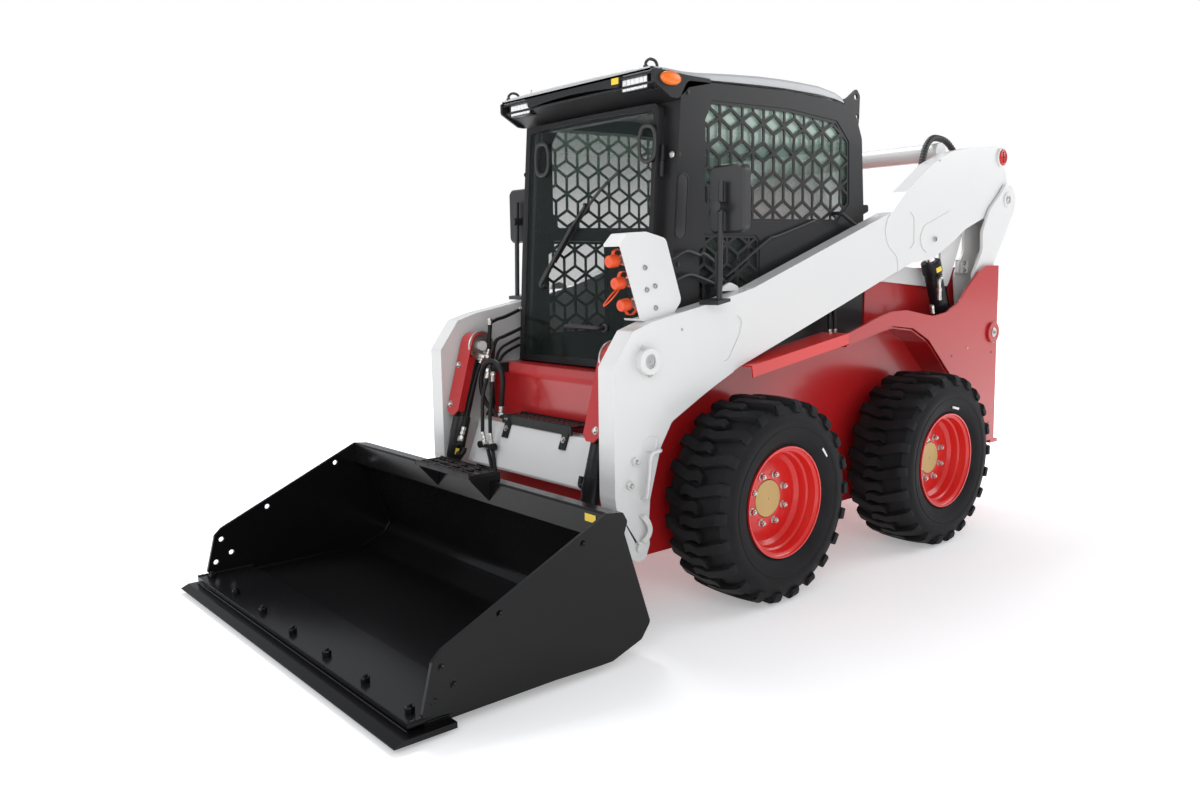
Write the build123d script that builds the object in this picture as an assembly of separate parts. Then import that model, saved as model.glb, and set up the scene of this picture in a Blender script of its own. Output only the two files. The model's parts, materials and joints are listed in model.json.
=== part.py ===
from build123d import *
import math
import os

# Skid steer loader, millimetres
# X runs forward to the bucket, Y to the driver's left, Z up.
# Stations along X are measured from the middle of the wheelbase and heights
# from a datum just above the floor; the finished machine is moved so that the
# origin lies on the floor under the middle of its length.

# Driving sizes: across the machine, from the cab's wall outward
CAB_HALF = 500
TOWER_STEP = 6
CHASSIS_STEP = 18
ARM_CLEAR = 21
ARM_W = 79
ARM_JOG = 8
TOWER_CLEAR = 44
TYRE_CLEAR = 55
UPPER_HALF = CAB_HALF + TOWER_STEP
CHASSIS_HALF = UPPER_HALF + CHASSIS_STEP
ARM_IN = CHASSIS_HALF + ARM_CLEAR
ARM_OUT = ARM_IN + ARM_W
TOWER_OUT = ARM_OUT + TOWER_CLEAR

# Driving sizes: wheels and tyres
WHEELBASE = 1194
AXLE_Z = 400
TYRE_R = 412.5
TYRE_W = 306
TYRE_SIDES = 44
LUG_DEPTH = 22
LUG_PITCHES = 22
LUG_W = 46
TRACK_HALF = CHASSIS_HALF + TYRE_CLEAR + TYRE_W / 2
BEAD_R = 209
FLANGE_R = 222.5
FLANGE_W = 274
RIM_WALL = 7
DISC_OFFSET = 42
DISC_T = 14
HUB_R = 75
BOLT_CIRCLE_R = 101.5
AXLE_TUBE_R = 62

# Driving sizes: chassis
SIDE_T = 10
BELLY_Z = 200
BELLY_T = 10
WALL_TOP = 1000
CHASSIS_FRONT = 1050
CHASSIS_REAR = -1395
TOWER_T = 12
TAIL_HINGE = (CHASSIS_REAR - 14, UPPER_HALF - 4)

# Driving sizes: lift linkage, as pivots in the side view (X, Z)
TOWER_PIN = (-1360, 957)
ARM_PIN = (-1507, 1652)
CONTROL_ARM_PIN = (-1085, 1237)
CONTROL_BASE_PIN = (-515, 1283)
LIFT_BASE_PIN = (-1170, 643)
LIFT_ROD_PIN = (-823, 1440)
BUCKET_PIN = (1170, 285)
TILT_BASE_PIN = (1130, 980)
TILT_ROD_PIN = (1320, 310)

# Driving sizes: arms, links and cylinders
ARM_SKIN = 10
ARM_SEAM = 4
PANEL_DEPTH = 4
LINK_GAP = 5
LINK_T = 15
LEG_T = 10
CONTROL_T = 16
CROSS_TUBE = (-1000, 1875)
CROSS_TUBE_R = 47
LEG_TUBE = (1088, 620)
LEG_TUBE_R = 32
LIFT_Y = ARM_IN + 40
LIFT_BARREL_R = 43
LIFT_ROD_R = 25
TILT_Y = ARM_IN - 62
TILT_BARREL_R = 34
TILT_ROD_R = 19
PIN_R = 22
BOSS_R = 48
RUNNING = 0.3
CLEAR = 1.0

# Driving sizes: what the arms carry
GUARD_IN = ARM_IN - 45
GUARD_W = 90
GUARD_T = 4
MIRROR_X = 767
MIRROR_Y = ARM_OUT + 41
LAMP_CENTRE = (-1458, 1870)
LAMP_R = 41
STEP_HALF = 240
STEP_T = 8
STEP_HOLE_R = 13

# Driving sizes: bucket
BUCKET_HALF = 898
BUCKET_SIDE_T = 12
BUCKET_WALL = 12
EDGE_OVER = 19
EDGE_TIP = 2356
EDGE_LOW = 4
SIDE_HOLE_R = 11
COUPLER_HALF = ARM_IN - 7
COUPLER_T = 16

# Driving sizes: cab
CAB_T = 24
CAB_FLOOR_Z = 470
DOOR_HALF = CAB_HALF - 74
DOOR_BOTTOM = 905
DOOR_TOP = 1955
DOOR_T = 38
GLASS_T = 6
REAR_PANE = CAB_HALF - 115
DOOR_GAP = 8
EAR_Y = CAB_HALF - 33
EAR_T = 10
EAR_HOLES = [(-370, 2090), (-384, 2000)]
EAR_HOLE_R = 13
LAMP_Y = CAB_HALF - 125
CONTROL_Y = CAB_HALF - 170
LATTICE_EDGE = 78
LATTICE_BAR = 13
LATTICE_T = 5


TO_RIGHT = (0, -1, 0)


def rounded(points, radii):
    """A closed wire through the points, each corner rounded as far as its runs allow."""
    count = len(points)
    corners = [Vector(*p) for p in points]
    starts, ends, middles = [], [], []
    for i, corner in enumerate(corners):
        back = corners[i - 1] - corner
        ahead = corners[(i + 1) % count] - corner
        half_turn = math.radians(180 - back.get_angle(ahead)) / 2
        setback = min(radii[i] * math.tan(half_turn), 0.48 * back.length, 0.48 * ahead.length)
        starts.append(corner + back.normalized() * setback)
        ends.append(corner + ahead.normalized() * setback)
        inward = back.normalized() + ahead.normalized()
        if setback < 0.05 or inward.length < 0.001:
            middles.append(None)
            continue
        radius = setback / math.tan(half_turn)
        depth = radius / math.cos(half_turn) - radius
        middles.append(corner + inward.normalized() * depth)
    edges = []
    for i in range(count):
        if middles[i] is not None:
            edges.append(ThreePointArc(starts[i], middles[i], ends[i]))
        start = ends[i] if middles[i] is not None else corners[i]
        last = (i + 1) % count
        end = starts[last] if middles[last] is not None else corners[last]
        if (end - start).length > 0.01:
            edges.append(Line(start, end))
    return Wire(edges)


def outline(points, radii=0):
    """A face in the side view, its corners rounded by one radius or by a list."""
    if isinstance(radii, (int, float)):
        radii = [radii] * len(points)
    return make_face(Plane.XZ * rounded(points, radii))


def plate(points, y_low, y_high, radii=0):
    """A side-view outline with thickness, from y_low to y_high."""
    face = outline(points, radii)
    return Pos(0, y_high, 0) * extrude(face, amount=y_high - y_low, dir=TO_RIGHT)


def block(x_low, x_high, y_low, y_high, z_low, z_high):
    """A box by its limits."""
    size = (x_high - x_low, y_high - y_low, z_high - z_low)
    centre = ((x_high + x_low) / 2, (y_high + y_low) / 2, (z_high + z_low) / 2)
    return Pos(*centre) * Box(*size)


def cross_pin(centre, radius, y_low, y_high):
    """A round bar along Y through a side-view point."""
    bar = Cylinder(radius, y_high - y_low, rotation=(90, 0, 0))
    return Pos(centre[0], (y_low + y_high) / 2, centre[1]) * bar


def round_bar(start, end, radius):
    """A round bar between two points in space."""
    run = Vector(*end) - Vector(*start)
    plane = Plane(origin=start, z_dir=run)
    return extrude(plane * Circle(radius), amount=run.length)


def both_sides(shape):
    """The shape on the left and its mirror image on the right."""
    return Compound([shape, mirror(shape, about=Plane.XZ)])


def towards(start, end, distance):
    """The side-view point at a distance from start on the way to end."""
    dx = end[0] - start[0]
    dz = end[1] - start[1]
    length = math.hypot(dx, dz)
    return (start[0] + dx * distance / length, start[1] + dz * distance / length)


def span(start, end):
    """The distance between two side-view points."""
    return math.hypot(end[0] - start[0], end[1] - start[1])


def link_bar(start, end, radius, y_low, y_high):
    """A flat bar with round ends between two side-view points."""
    run = span(start, end)
    face = SlotCenterToCenter(run, radius * 2)
    angle = math.degrees(math.atan2(end[1] - start[1], end[0] - start[0]))
    middle = ((start[0] + end[0]) / 2, (start[1] + end[1]) / 2)
    bar = extrude(Plane.XZ * (Rot(0, 0, angle) * face), amount=y_high - y_low, dir=TO_RIGHT)
    return Pos(middle[0], y_high, middle[1]) * bar


def wheel_frame(side, x):
    """The place of a wheel: its own Z runs outward along the axle."""
    return Plane(origin=(x, side * TRACK_HALF, AXLE_Z), x_dir=(1, 0, 0), z_dir=(0, side, 0))


def flat_sided(section):
    """A solid about its own Z with flat faces round it, from a closed section of (radius, height)."""
    def corner(point, i):
        turn = math.radians(360 * (i + 0.5) / TYRE_SIDES)
        return (point[0] * math.cos(turn), point[0] * math.sin(turn), point[1])

    faces = []
    for a, b in zip(section, section[1:] + section[:1]):
        for i in range(TYRE_SIDES):
            outline = [corner(a, i), corner(a, i + 1), corner(b, i + 1), corner(b, i)]
            faces.append(Face(Wire.make_polygon(outline, close=True)))
    return Solid(Shell(faces))


def tyre():
    """A tyre about its own Z, its flats set so that one lug stands on each in turn."""
    half = TYRE_W / 2
    carcass_r = TYRE_R - LUG_DEPTH
    bore_r = (BEAD_R + RUNNING) / math.cos(math.pi / TYRE_SIDES)
    upper = [(bore_r, half * 0.8), (BEAD_R + 100, half), (carcass_r, half * 0.72)]
    body = flat_sided(upper + [(radius, -height) for radius, height in reversed(upper)])
    footing = 60
    top_half = LUG_W / 2
    top_r = math.sqrt(TYRE_R ** 2 - top_half ** 2)
    lug = block(carcass_r - footing, top_r, -top_half, top_half, half * 0.02, half * 0.9)
    lugs = []
    for i in range(LUG_PITCHES):
        turn = 360 * i / LUG_PITCHES
        lugs.append(Rot(0, 0, turn) * lug)
        lugs.append(Rot(0, 0, turn + 180 / LUG_PITCHES) * mirror(lug, about=Plane.XY))
    return body.fuse(*lugs)


def rim():
    """A drop-centre rim about its own Z with its disc set in from the outer flange."""
    half = FLANGE_W / 2
    well_r = BEAD_R - 32
    outer = [
        (FLANGE_R, -half), (BEAD_R, -half + 14), (BEAD_R - 3, -half + 50), (well_r, -half + 62),
        (well_r, half - 78), (BEAD_R - 3, half - 58), (BEAD_R, half - 14), (FLANGE_R, half)]
    inner = [(r - RIM_WALL, z) for r, z in reversed(outer)]
    barrel = revolve(make_face(Plane.XZ * Polyline(*outer, *inner, close=True)), Axis.Z)
    disc = Pos(0, 0, DISC_OFFSET - DISC_T / 2) * Cylinder(well_r - RIM_WALL / 2, DISC_T)
    hole = Pos(0, 0, DISC_OFFSET - DISC_T / 2) * Cylinder(HUB_R + CLEAR, DISC_T * 2)
    return barrel.fuse(disc - hole)


def hub():
    """The axle's flange behind the disc and the round cap in front of it."""
    cap = Pos(0, 0, DISC_OFFSET - DISC_T / 2) * Cylinder(HUB_R, DISC_T + 4)
    flange = Pos(0, 0, DISC_OFFSET - DISC_T - 12) * Cylinder(BOLT_CIRCLE_R + 22, 24)
    stub = Pos(0, 0, DISC_OFFSET - DISC_T - 44) * Cylinder(48, 44)
    return cap.fuse(flange, stub)


def wheels():
    """A tyre and a wheel with its hub at each corner."""
    parts = {}
    for end, x in (("front", WHEELBASE / 2), ("rear", -WHEELBASE / 2)):
        for name, side in (("left", 1), ("right", -1)):
            place = wheel_frame(side, x).location
            parts[f"tyre_{end}_{name}"] = place * tyre()
            parts[f"wheel_{end}_{name}"] = Compound([place * rim(), place * hub()])
    return parts


def chassis_tub():
    """The lower frame: belly, two side walls, cross walls and the ledges under the cab."""
    inside = CHASSIS_HALF - SIDE_T
    side = plate(
        [(CHASSIS_REAR, BELLY_Z + 60), (CHASSIS_REAR + 60, BELLY_Z), (CHASSIS_FRONT - 10, BELLY_Z),
         (CHASSIS_FRONT, BELLY_Z + 10), (CHASSIS_FRONT, 560), (960, 700), (760, 830),
         (560, 905), (-80, WALL_TOP), (CHASSIS_REAR, WALL_TOP)],
        inside, CHASSIS_HALF, [20, 20, 10, 10, 60, 100, 100, 60, 20, 10])
    back_in, front_in, low_in = CHASSIS_REAR + SIDE_T, CHASSIS_FRONT - SIDE_T, BELLY_Z + BELLY_T
    belly = plate(
        [(CHASSIS_REAR, 420), (CHASSIS_REAR, BELLY_Z + 60), (CHASSIS_REAR + 60, BELLY_Z),
         (CHASSIS_FRONT - 10, BELLY_Z), (CHASSIS_FRONT, BELLY_Z + 10), (CHASSIS_FRONT, 560),
         (front_in, 560), (front_in, low_in + 4), (front_in - 4, low_in), (CHASSIS_REAR + 64, low_in),
         (back_in, BELLY_Z + 64), (back_in, 420)], -inside, inside)
    middle = block(-455, -445, -inside, inside, BELLY_Z + BELLY_T, WALL_TOP)
    ledge = block(-445, 960, CAB_HALF - 30, inside, CAB_FLOOR_Z - 8, CAB_FLOOR_Z)
    return side.fuse(mirror(side, about=Plane.XZ), belly, middle, ledge,
                     mirror(ledge, about=Plane.XZ))


def front_panel():
    """The red panel between the arms, folded back at its top to the door's sill."""
    face_x = CHASSIS_FRONT
    return plate(
        [(face_x, 560), (face_x, 862), (1002, 898), (906, 898), (906, 890), (998, 890),
         (face_x - 8, 858), (face_x - 8, 560)],
        -CAB_HALF + 20, CAB_HALF - 20, [0, 30, 20, 0, 0, 14, 24, 0])


def upper_wall():
    """The left tower's inner wall, which carries the control link's pin."""
    y_low = UPPER_HALF - TOWER_T
    wall = plate(
        [(CHASSIS_REAR, WALL_TOP), (-430, WALL_TOP), (-430, 1340), (-560, 1340), (-760, 1300),
         (CHASSIS_REAR, 1300)], y_low, UPPER_HALF, [0, 0, 20, 20, 40, 20])
    foot = block(CHASSIS_REAR + 20, -450, UPPER_HALF - 1, CHASSIS_HALF, WALL_TOP, WALL_TOP + 8)
    pin = cross_pin(CONTROL_BASE_PIN, PIN_R, UPPER_HALF - 1, UPPER_HALF + CONTROL_T + 8)
    return wall.fuse(foot, pin)


def tower():
    """The left tower's outer plate with the band over the wheel."""
    points = [(-1402, 1307), (-1279, 1308), (-1199, 1276), (-1098, 1202), (-1012, 1123),
              (-900, 1081), (-777, 1066), (-691, 1079), (-537, 1104), (-424, 1102), (-317, 1082),
              (-78, 1019), (-78, 968), (-320, 1017), (-429, 1034), (-600, 1015), (-741, 951),
              (-952, 767), (-1060, 560), (-1110, 373), (-1430, 373)]
    radii = [6, 40, 60, 60, 60, 60, 60, 60, 60, 60, 40, 0, 0, 40, 60, 60, 60, 80, 60, 6, 6]
    skin = plate(points, TOWER_OUT - TOWER_T, TOWER_OUT, radii)
    inner = TOWER_OUT - TOWER_T
    rear = block(-1430, -1418, CHASSIS_HALF, inner + 1, 373, 820)
    floor = block(-1419, -1110, CHASSIS_HALF, inner + 1, 373, 385)
    boss = cross_pin(TOWER_PIN, 42, TOWER_OUT - 1, TOWER_OUT + 8)
    pin = cross_pin(TOWER_PIN, PIN_R, CHASSIS_HALF, inner + 1)
    base = cross_pin(LIFT_BASE_PIN, PIN_R, CHASSIS_HALF, inner + 1)
    rear_web = block(-1418.5, CHASSIS_REAR, CHASSIS_HALF, CHASSIS_HALF + 8, 373, 820)
    return skin.fuse(rear, floor, boss, pin, base, rear_web)


def fender():
    """The shelf over the left rear wheel, under the tower's band."""
    top = [(-1000, 700), (-952, 762), (-741, 946), (-600, 1010), (-429, 1029), (-320, 1012),
           (-80, 963)]
    under = [(x, z - 7) for x, z in reversed(top)]
    radii = [0, 60, 60, 60, 60, 40, 0]
    return plate(top + under, CHASSIS_HALF, TOWER_OUT - TOWER_T, radii + radii[::-1])


def step_plate():
    """The bright bent step on the left side, ahead of the band."""
    rear, front = (-77.7, 1019), (574, 923)
    top = plate([rear, front, (front[0] - 1, front[1] - 6), (rear[0], rear[1] - 6)],
                CHASSIS_HALF, TOWER_OUT)
    lip = plate([rear, front, (front[0] - 8, front[1] - 48), (rear[0], rear[1] - 48)],
                TOWER_OUT - 6, TOWER_OUT)
    return top.fuse(lip)


def engine():
    """One plain block at the engine's place."""
    return block(-1180, -520, -280, 280, BELLY_Z + BELLY_T + 60, 900)


def engine_mounts():
    """Four feet that carry the engine on the belly."""
    feet = []
    for x in (-1100, -600):
        for y in (-220, 220):
            feet.append(Pos(x, y, BELLY_Z + BELLY_T + 30) * Cylinder(35, 60))
    return Compound(feet)


def rear_hood():
    """The cover over the engine between the towers."""
    y = UPPER_HALF - TOWER_T - RUNNING
    top = plate([(-455, 1290), (-1260, 1290), (-1385, 1235), (-1385, 1223), (-1262, 1278),
                 (-455, 1278)], -y, y)
    sides = plate([(-455, 1279), (-1262, 1279), (-1385, 1225), (-1385, 1002), (-455, 1002)],
                  y - 8, y)
    return top.fuse(sides, mirror(sides, about=Plane.XZ))


def tailgate():
    """The rear door between the towers, with its louvred opening."""
    y = UPPER_HALF - TOWER_T - 8
    x_in = CHASSIS_REAR - 4
    skin = block(x_in - 30, x_in, -y, y, 430, 1215)
    hollow = block(x_in - 24, x_in + 1, -y + 30, y - 30, 460, 1185)
    window = block(x_in - 31, x_in + 1, -y + 110, y - 110, 640, 1080)
    back, front = x_in - 26, x_in - 4
    louvres = []
    for i in range(11):
        z = 660 + 40 * i
        blade = [(back, z), (front, z + 22), (front, z + 26), (back, z + 4)]
        louvres.append(plate(blade, -y + 109, y - 109))
    hinge_x, hinge_y = TAIL_HINGE
    knuckles = []
    for z in (648.5, 971.5):
        knuckles.append(Pos(hinge_x, hinge_y, z) * Cylinder(10, 88))
        knuckles.append(block(hinge_x - 6, hinge_x + 6, y - 1, hinge_y, z - 44, z + 44))
    return (skin - hollow - window).fuse(*louvres, *knuckles)


def tailgate_hinges():
    """The fixed knuckles and leaves of the rear door's hinges."""
    knuckles = []
    for z in (560, 1060):
        leaf = block(TAIL_HINGE[0], CHASSIS_REAR, TAIL_HINGE[1] - 5, CHASSIS_HALF, z - 44, z + 44)
        knuckles.append((Pos(*TAIL_HINGE, z) * Cylinder(10, 88)).fuse(leaf))
    return Compound(knuckles)


def rear_bumper():
    """The plate across the tail below the rear door."""
    bar = block(-1470, CHASSIS_REAR, -TOWER_OUT, TOWER_OUT, 355, 373)
    y = CHASSIS_HALF - 44
    face = block(-1440, CHASSIS_REAR, -y, y, 290, 356)
    return bar.fuse(face)


def axle_housings():
    """The four fixed tubes that carry the hubs."""
    y_in = CHASSIS_HALF
    y_out = TRACK_HALF + DISC_OFFSET - DISC_T - 66 - RUNNING
    tubes = []
    for x in (-WHEELBASE / 2, WHEELBASE / 2):
        tube = cross_pin((x, AXLE_Z), AXLE_TUBE_R, y_in, y_out)
        flange = cross_pin((x, AXLE_Z), AXLE_TUBE_R + 40, y_in, y_in + 16)
        tubes.append(tube.fuse(flange))
        tubes.append(mirror(tubes[-1], about=Plane.XZ))
    return Compound(tubes)


CAB_SIDE = [(1000, CAB_FLOOR_Z), (1000, 640), (905, 880), (880, 900), (850, 1410), (808, 1972),
            (771, 2033), (159, 2057), (-204, 2047), (-330, 2010), (-385, 1900), (-410, 1598),
            (-425, 1250), (-425, CAB_FLOOR_Z)]
CAB_SIDE_RADII = [0, 0, 20, 20, 60, 30, 40, 0, 0, 60, 60, 0, 0, 0]
WINDOW = [(683, 1540), (683, 1900), (640, 1972), (150, 1985), (-190, 1965), (-285, 1880),
          (-297, 1600), (-200, 1513), (640, 1500)]
LOW_WINDOW = [(715, 1000), (715, 1420), (690, 1450), (360, 1450), (335, 1425), (335, 1000)]


def cab_profile():
    """The whole space inside the cab's side outline."""
    return plate(CAB_SIDE, -CAB_HALF - 100, CAB_HALF + 100)


def cab_side():
    """The left wall of the cab with its two window openings."""
    wall = plate(CAB_SIDE, CAB_HALF - CAB_T, CAB_HALF, CAB_SIDE_RADII)
    window = plate(WINDOW, CAB_HALF - CAB_T - 1, CAB_HALF + 1, 24)
    low = plate(LOW_WINDOW, CAB_HALF - CAB_T - 1, CAB_HALF + 1, 20)
    return wall - window - low


def shrink(points, amount):
    """The corners of an outline moved in by the same amount on every side."""
    face = offset(outline(points), amount=-amount, kind=Kind.INTERSECTION)
    corners = []
    for edge in face.faces()[0].outer_wire().order_edges():
        start = edge @ 0
        corners.append((start.X, start.Z))
    return corners


def rhombus(turn):
    """One opening of the lattice, in the side view, with a corner at the origin."""
    edge = LATTICE_EDGE
    rise = edge * math.sin(math.radians(60))
    cell = Polyline((0, 0), (edge, 0), (edge * 1.5, rise), (edge * 0.5, rise), close=True)
    hole = offset(make_face(cell), amount=-LATTICE_BAR / 2, kind=Kind.INTERSECTION)
    return Plane.XZ * (Rot(0, 0, turn) * hole)


def grille(points, radius, y):
    """A lattice guard of stacked cubes in one window, its face at y."""
    face = outline(points, radius)
    inner = offset(outline(points), amount=-LATTICE_BAR, kind=Kind.INTERSECTION)
    wide = LATTICE_EDGE * math.sqrt(3)
    tall = LATTICE_EDGE * 1.5
    box = face.bounding_box()
    cells = [rhombus(turn) for turn in (30, 150, 270)]
    least = LATTICE_BAR ** 2
    sheet = Pos(0, y, 0) * extrude(face, amount=LATTICE_T, dir=TO_RIGHT)
    cuts = []
    for row in range(math.ceil(box.size.Z / tall) + 2):
        z = box.min.Z + (row - 0.5) * tall
        shift = wide / 2 * (row % 2)
        for column in range(math.ceil(box.size.X / wide) + 2):
            x = box.min.X + (column - 0.5) * wide + shift
            for cell in cells:
                opening = inner.intersect(Pos(x, 0, z) * cell)
                if opening:
                    cuts += [f for f in ShapeList(opening).faces() if f.area > least]
    through = Pos(0, y + 1, 0)
    return sheet.cut(*[through * extrude(c, amount=LATTICE_T + 2, dir=TO_RIGHT) for c in cuts])


def window_grilles():
    """Lattice guards in the left wall's two window openings."""
    y = CAB_HALF - 3
    upper = grille(shrink(WINDOW, CLEAR / 2), 23, y)
    low = grille(shrink(LOW_WINDOW, CLEAR / 2), 19, y)
    return Compound([upper, low])


def window_glass():
    """Panes behind the left wall's lattice guards."""
    y = CAB_HALF - CAB_T + 2
    upper = plate(shrink(WINDOW, CLEAR / 2), y, y + GLASS_T, 23)
    low = plate(shrink(LOW_WINDOW, CLEAR / 2), y, y + GLASS_T, 19)
    return Compound([upper, low])


def cab_rear():
    """The cab's rear wall with its window opening."""
    y = CAB_HALF - CAB_T
    wall = plate([(-425, CAB_FLOOR_Z), (-425, 1250), (-410, 1598), (-385, 1900), (-373, 1900),
                  (-398, 1598), (-413, 1250), (-413, CAB_FLOOR_Z)], -y, y)
    return wall - block(-500, -300, -REAR_PANE, REAR_PANE, 1340, 1860)


def rear_glass():
    """The pane in the rear wall."""
    y = REAR_PANE - CLEAR / 2
    outer = [(-421, 1250), (-406, 1598), (-381, 1900)]
    inner = [(x + GLASS_T, z) for x, z in reversed(outer)]
    pane = plate(outer + inner, -y, y)
    return pane & block(-500, -300, -y, y, 1340 + CLEAR / 2, 1860 - CLEAR / 2)


def cab_roof():
    """The roof panel between the side walls."""
    y = CAB_HALF - CAB_T
    roof = plate([(801, 1984), (771, 2033), (159, 2057), (-204, 2047), (-330, 2010), (-385, 1901),
                  (-373, 1901), (-320, 2000), (-204, 2035), (159, 2045), (760, 2021), (782, 1984)],
                 -y, y, [0, 40, 0, 0, 60, 0, 0, 48, 0, 0, 28, 0])
    return roof & cab_profile()


def cab_front():
    """The front frame round the door: two pillars, a header and the sill."""
    y = CAB_HALF - CAB_T
    frame = plate([(880, 905), (850, 1410), (808, 1972), (801, 1983.5), (762, 1983.5), (810, 1410),
                   (840, 905)], -y, y)
    return frame - block(700, 1000, -DOOR_HALF + 22, DOOR_HALF - 22, 925, 1930)


def cab_floor():
    """The floor pan and the foot well's front wall."""
    y = CAB_HALF - CAB_T
    pan = block(-413, 1000, -y, y, CAB_FLOOR_Z, CAB_FLOOR_Z + 8)
    toe = block(990, 1000, -y, y, CAB_FLOOR_Z + 7, 640)
    return pan.fuse(toe)


def seat_cushions():
    """The seat's two soft parts."""
    cushion = block(-120, 360, -250, 250, 860, 960)
    back = plate([(-118, 960.3), (-200, 1500), (-110, 1500), (-20, 960.3)], -240, 240, [0, 30, 30, 0])
    return Compound([cushion, back])


def seat_base():
    """The seat's pedestal."""
    return block(-100, 320, -210, 210, CAB_FLOOR_Z + 8, 859.7)


def controls():
    """Two levers and the arm rests that carry them."""
    y = CONTROL_Y
    rest = block(-60, 330, y - 45, y + 45, 1010, 1060)
    leg = block(100, 160, y - 30, y + 30, CAB_FLOOR_Z + 8, 1011)
    lever = round_bar((290, y, 1059), (320, y - 10, 1200), 12)
    knob = round_bar((318, y - 9, 1190), (326, y - 12, 1240), 24)
    return both_sides(rest.fuse(leg, lever, knob))


def visor():
    """The visor over the door."""
    hood = plate([(816, 1960), (948, 2020), (948, 2052), (930, 2075), (760, 2072), (690, 2046),
                  (690, 2030), (770, 1990), (800, 1960)], -CAB_HALF, CAB_HALF,
                 [0, 8, 8, 20, 30, 0, 0, 0, 0])
    return hood - cab_profile()


def work_lamps():
    """Two lamps in the visor's front."""
    return both_sides(block(948, 962, LAMP_Y - 75, LAMP_Y + 75, 2010, 2055))


def marker_lamps():
    """The oval orange lamps on the visor's ends."""
    lens = extrude(Ellipse(54, 23), amount=16, taper=25)
    return both_sides(Pos(868, CAB_HALF, 2028) * (Rot(-90, 0, 0) * lens))


def roof_ears():
    """The pierced lifting plates at the roof's rear corners."""
    low, high = EAR_Y - EAR_T / 2, EAR_Y + EAR_T / 2
    ear = plate([(-150, 2030), (-150, 2054), (-240, 2064), (-300, 2078), (-375, 2128), (-402, 2100),
                 (-400, 2000), (-392, 1935), (-350, 1935)], low, high,
                [0, 4, 40, 40, 14, 24, 30, 6, 0])
    ear -= cab_profile()
    for centre in EAR_HOLES:
        ear -= cross_pin(centre, EAR_HOLE_R, low - 1, high + 1)
    return both_sides(ear)


def parts_of_door():
    """The leaning door: a frame and its pane."""
    foot = (884 + DOOR_GAP, DOOR_BOTTOM)
    head = (815 + DOOR_GAP, DOOR_TOP)
    body = plate([foot, head, (head[0] + DOOR_T, head[1]), (foot[0] + DOOR_T, foot[1])],
                 -DOOR_HALF, DOOR_HALF)
    y = DOOR_HALF - 34
    opening = block(700, 1100, -y, y, DOOR_BOTTOM + 40, DOOR_TOP - 50)
    inset = 14
    pane = plate([(foot[0] + inset, foot[1]), (head[0] + inset, head[1]),
                  (head[0] + inset + GLASS_T, head[1]), (foot[0] + inset + GLASS_T, foot[1])],
                 -y, y) & opening
    knuckles = [door_knuckle(height) for height in (1120, 1700)]
    return {"door_frame": (body - opening).fuse(*knuckles), "door_glass": pane}


def door_axis(height):
    """The point of the door's leaning hinge line at a height."""
    lean = (815 - 884) / (DOOR_TOP - DOOR_BOTTOM)
    return (884 + DOOR_GAP + 12 + lean * (height - DOOR_BOTTOM), DOOR_HALF + 13, height)


def cab_front_x(height):
    """The station of the cab's front edge at a height."""
    if height < 1410:
        return 880 - 30 * (height - 905) / 505
    return 850 - 42 * (height - 1410) / 562


def door_knuckle(height):
    """A short barrel on the door's hinge line, joined to the door's edge."""
    low, high = door_axis(height - 30.3), door_axis(height + 30.3)
    barrel = round_bar(low, high, 9)
    x, low_z, high_z = door_axis(height)[0], height - 25, height + 25
    return barrel.fuse(block(x - 5, x + 5, DOOR_HALF - 1, DOOR_HALF + 12, low_z, high_z))


def door_hinges():
    """The fixed barrels on the left pillar, above those of the door."""
    pieces = []
    for height in (1120 + 61, 1700 + 61):
        barrel = round_bar(door_axis(height - 30), door_axis(height + 30), 9)
        x, low_z, high_z = door_axis(height)[0], height - 25, height + 25
        leaf = block(cab_front_x(low_z) + 0.1, x, DOOR_HALF + 9, DOOR_HALF + 17, low_z, high_z)
        pieces.append(barrel.fuse(leaf))
    return Compound(pieces)


ARM = [(1282, 963), (1188, 1091), (1091, 1121), (718, 1188), (503, 1235), (-453, 1558),
       (-575, 1659), (-801, 1801), (-969, 1870), (-1175, 1903), (-1393, 1925), (-1494, 1911),
       (-1500, 1828), (-1566, 1680), (-1566, 1620), (-1507, 1592), (-1287, 1547), (-1128, 1494),
       (-1015, 1432), (-819, 1342), (-640, 1327), (-538, 1293), (-98, 1145), (597, 917),
       (719, 865), (801, 828), (991, 739), (1052, 647), (1108, 457), (1117, 335), (1110, 285),
       (1130, 235), (1170, 225), (1215, 250), (1345, 470), (1335, 620)]
ARM_RADII = [30, 20, 20, 30, 60, 40, 60, 60, 60, 60, 40, 30, 40, 40, 40, 20, 40, 60,
             60, 60, 40, 40, 60, 60, 40, 40, 40, 60, 30, 30, 20, 30, 30, 30, 60, 60]


ROD_PAD = [(-702, 1452), (-734, 1503), (-960, 1578), (-1003, 1566), (-1017, 1500), (-920, 1421),
           (-767, 1372), (-716, 1400)]
REAR_PANEL = [(-611, 1572), (-650, 1537), (-655, 1419), (-622, 1392), (-494, 1441), (-491, 1494)]
FRONT_PANEL = [(618, 1130), (586, 1106), (597, 1052), (662, 957), (693, 944), (714, 967),
               (750, 1051), (738, 1073)]


def jog():
    """What the front plate's slanting fold takes off the arm's outer face behind it."""
    rear_fold, front_fold = (866, 990), (1087, 976)
    lean = (-0.315, 0, -0.949)
    across = span(rear_fold, front_fold)
    plane = Plane(origin=(rear_fold[0], ARM_OUT, rear_fold[1]), x_dir=(0.949, 0, -0.315), z_dir=lean)
    section = Polyline((-3000, 0), (0, 0), (across, ARM_JOG), (across, 60), (-3000, 60), close=True)
    if plane.y_dir.Y < 0:
        section = mirror(section, about=Plane.XZ)
    return extrude(plane * make_face(section), amount=2000, both=True)


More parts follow.
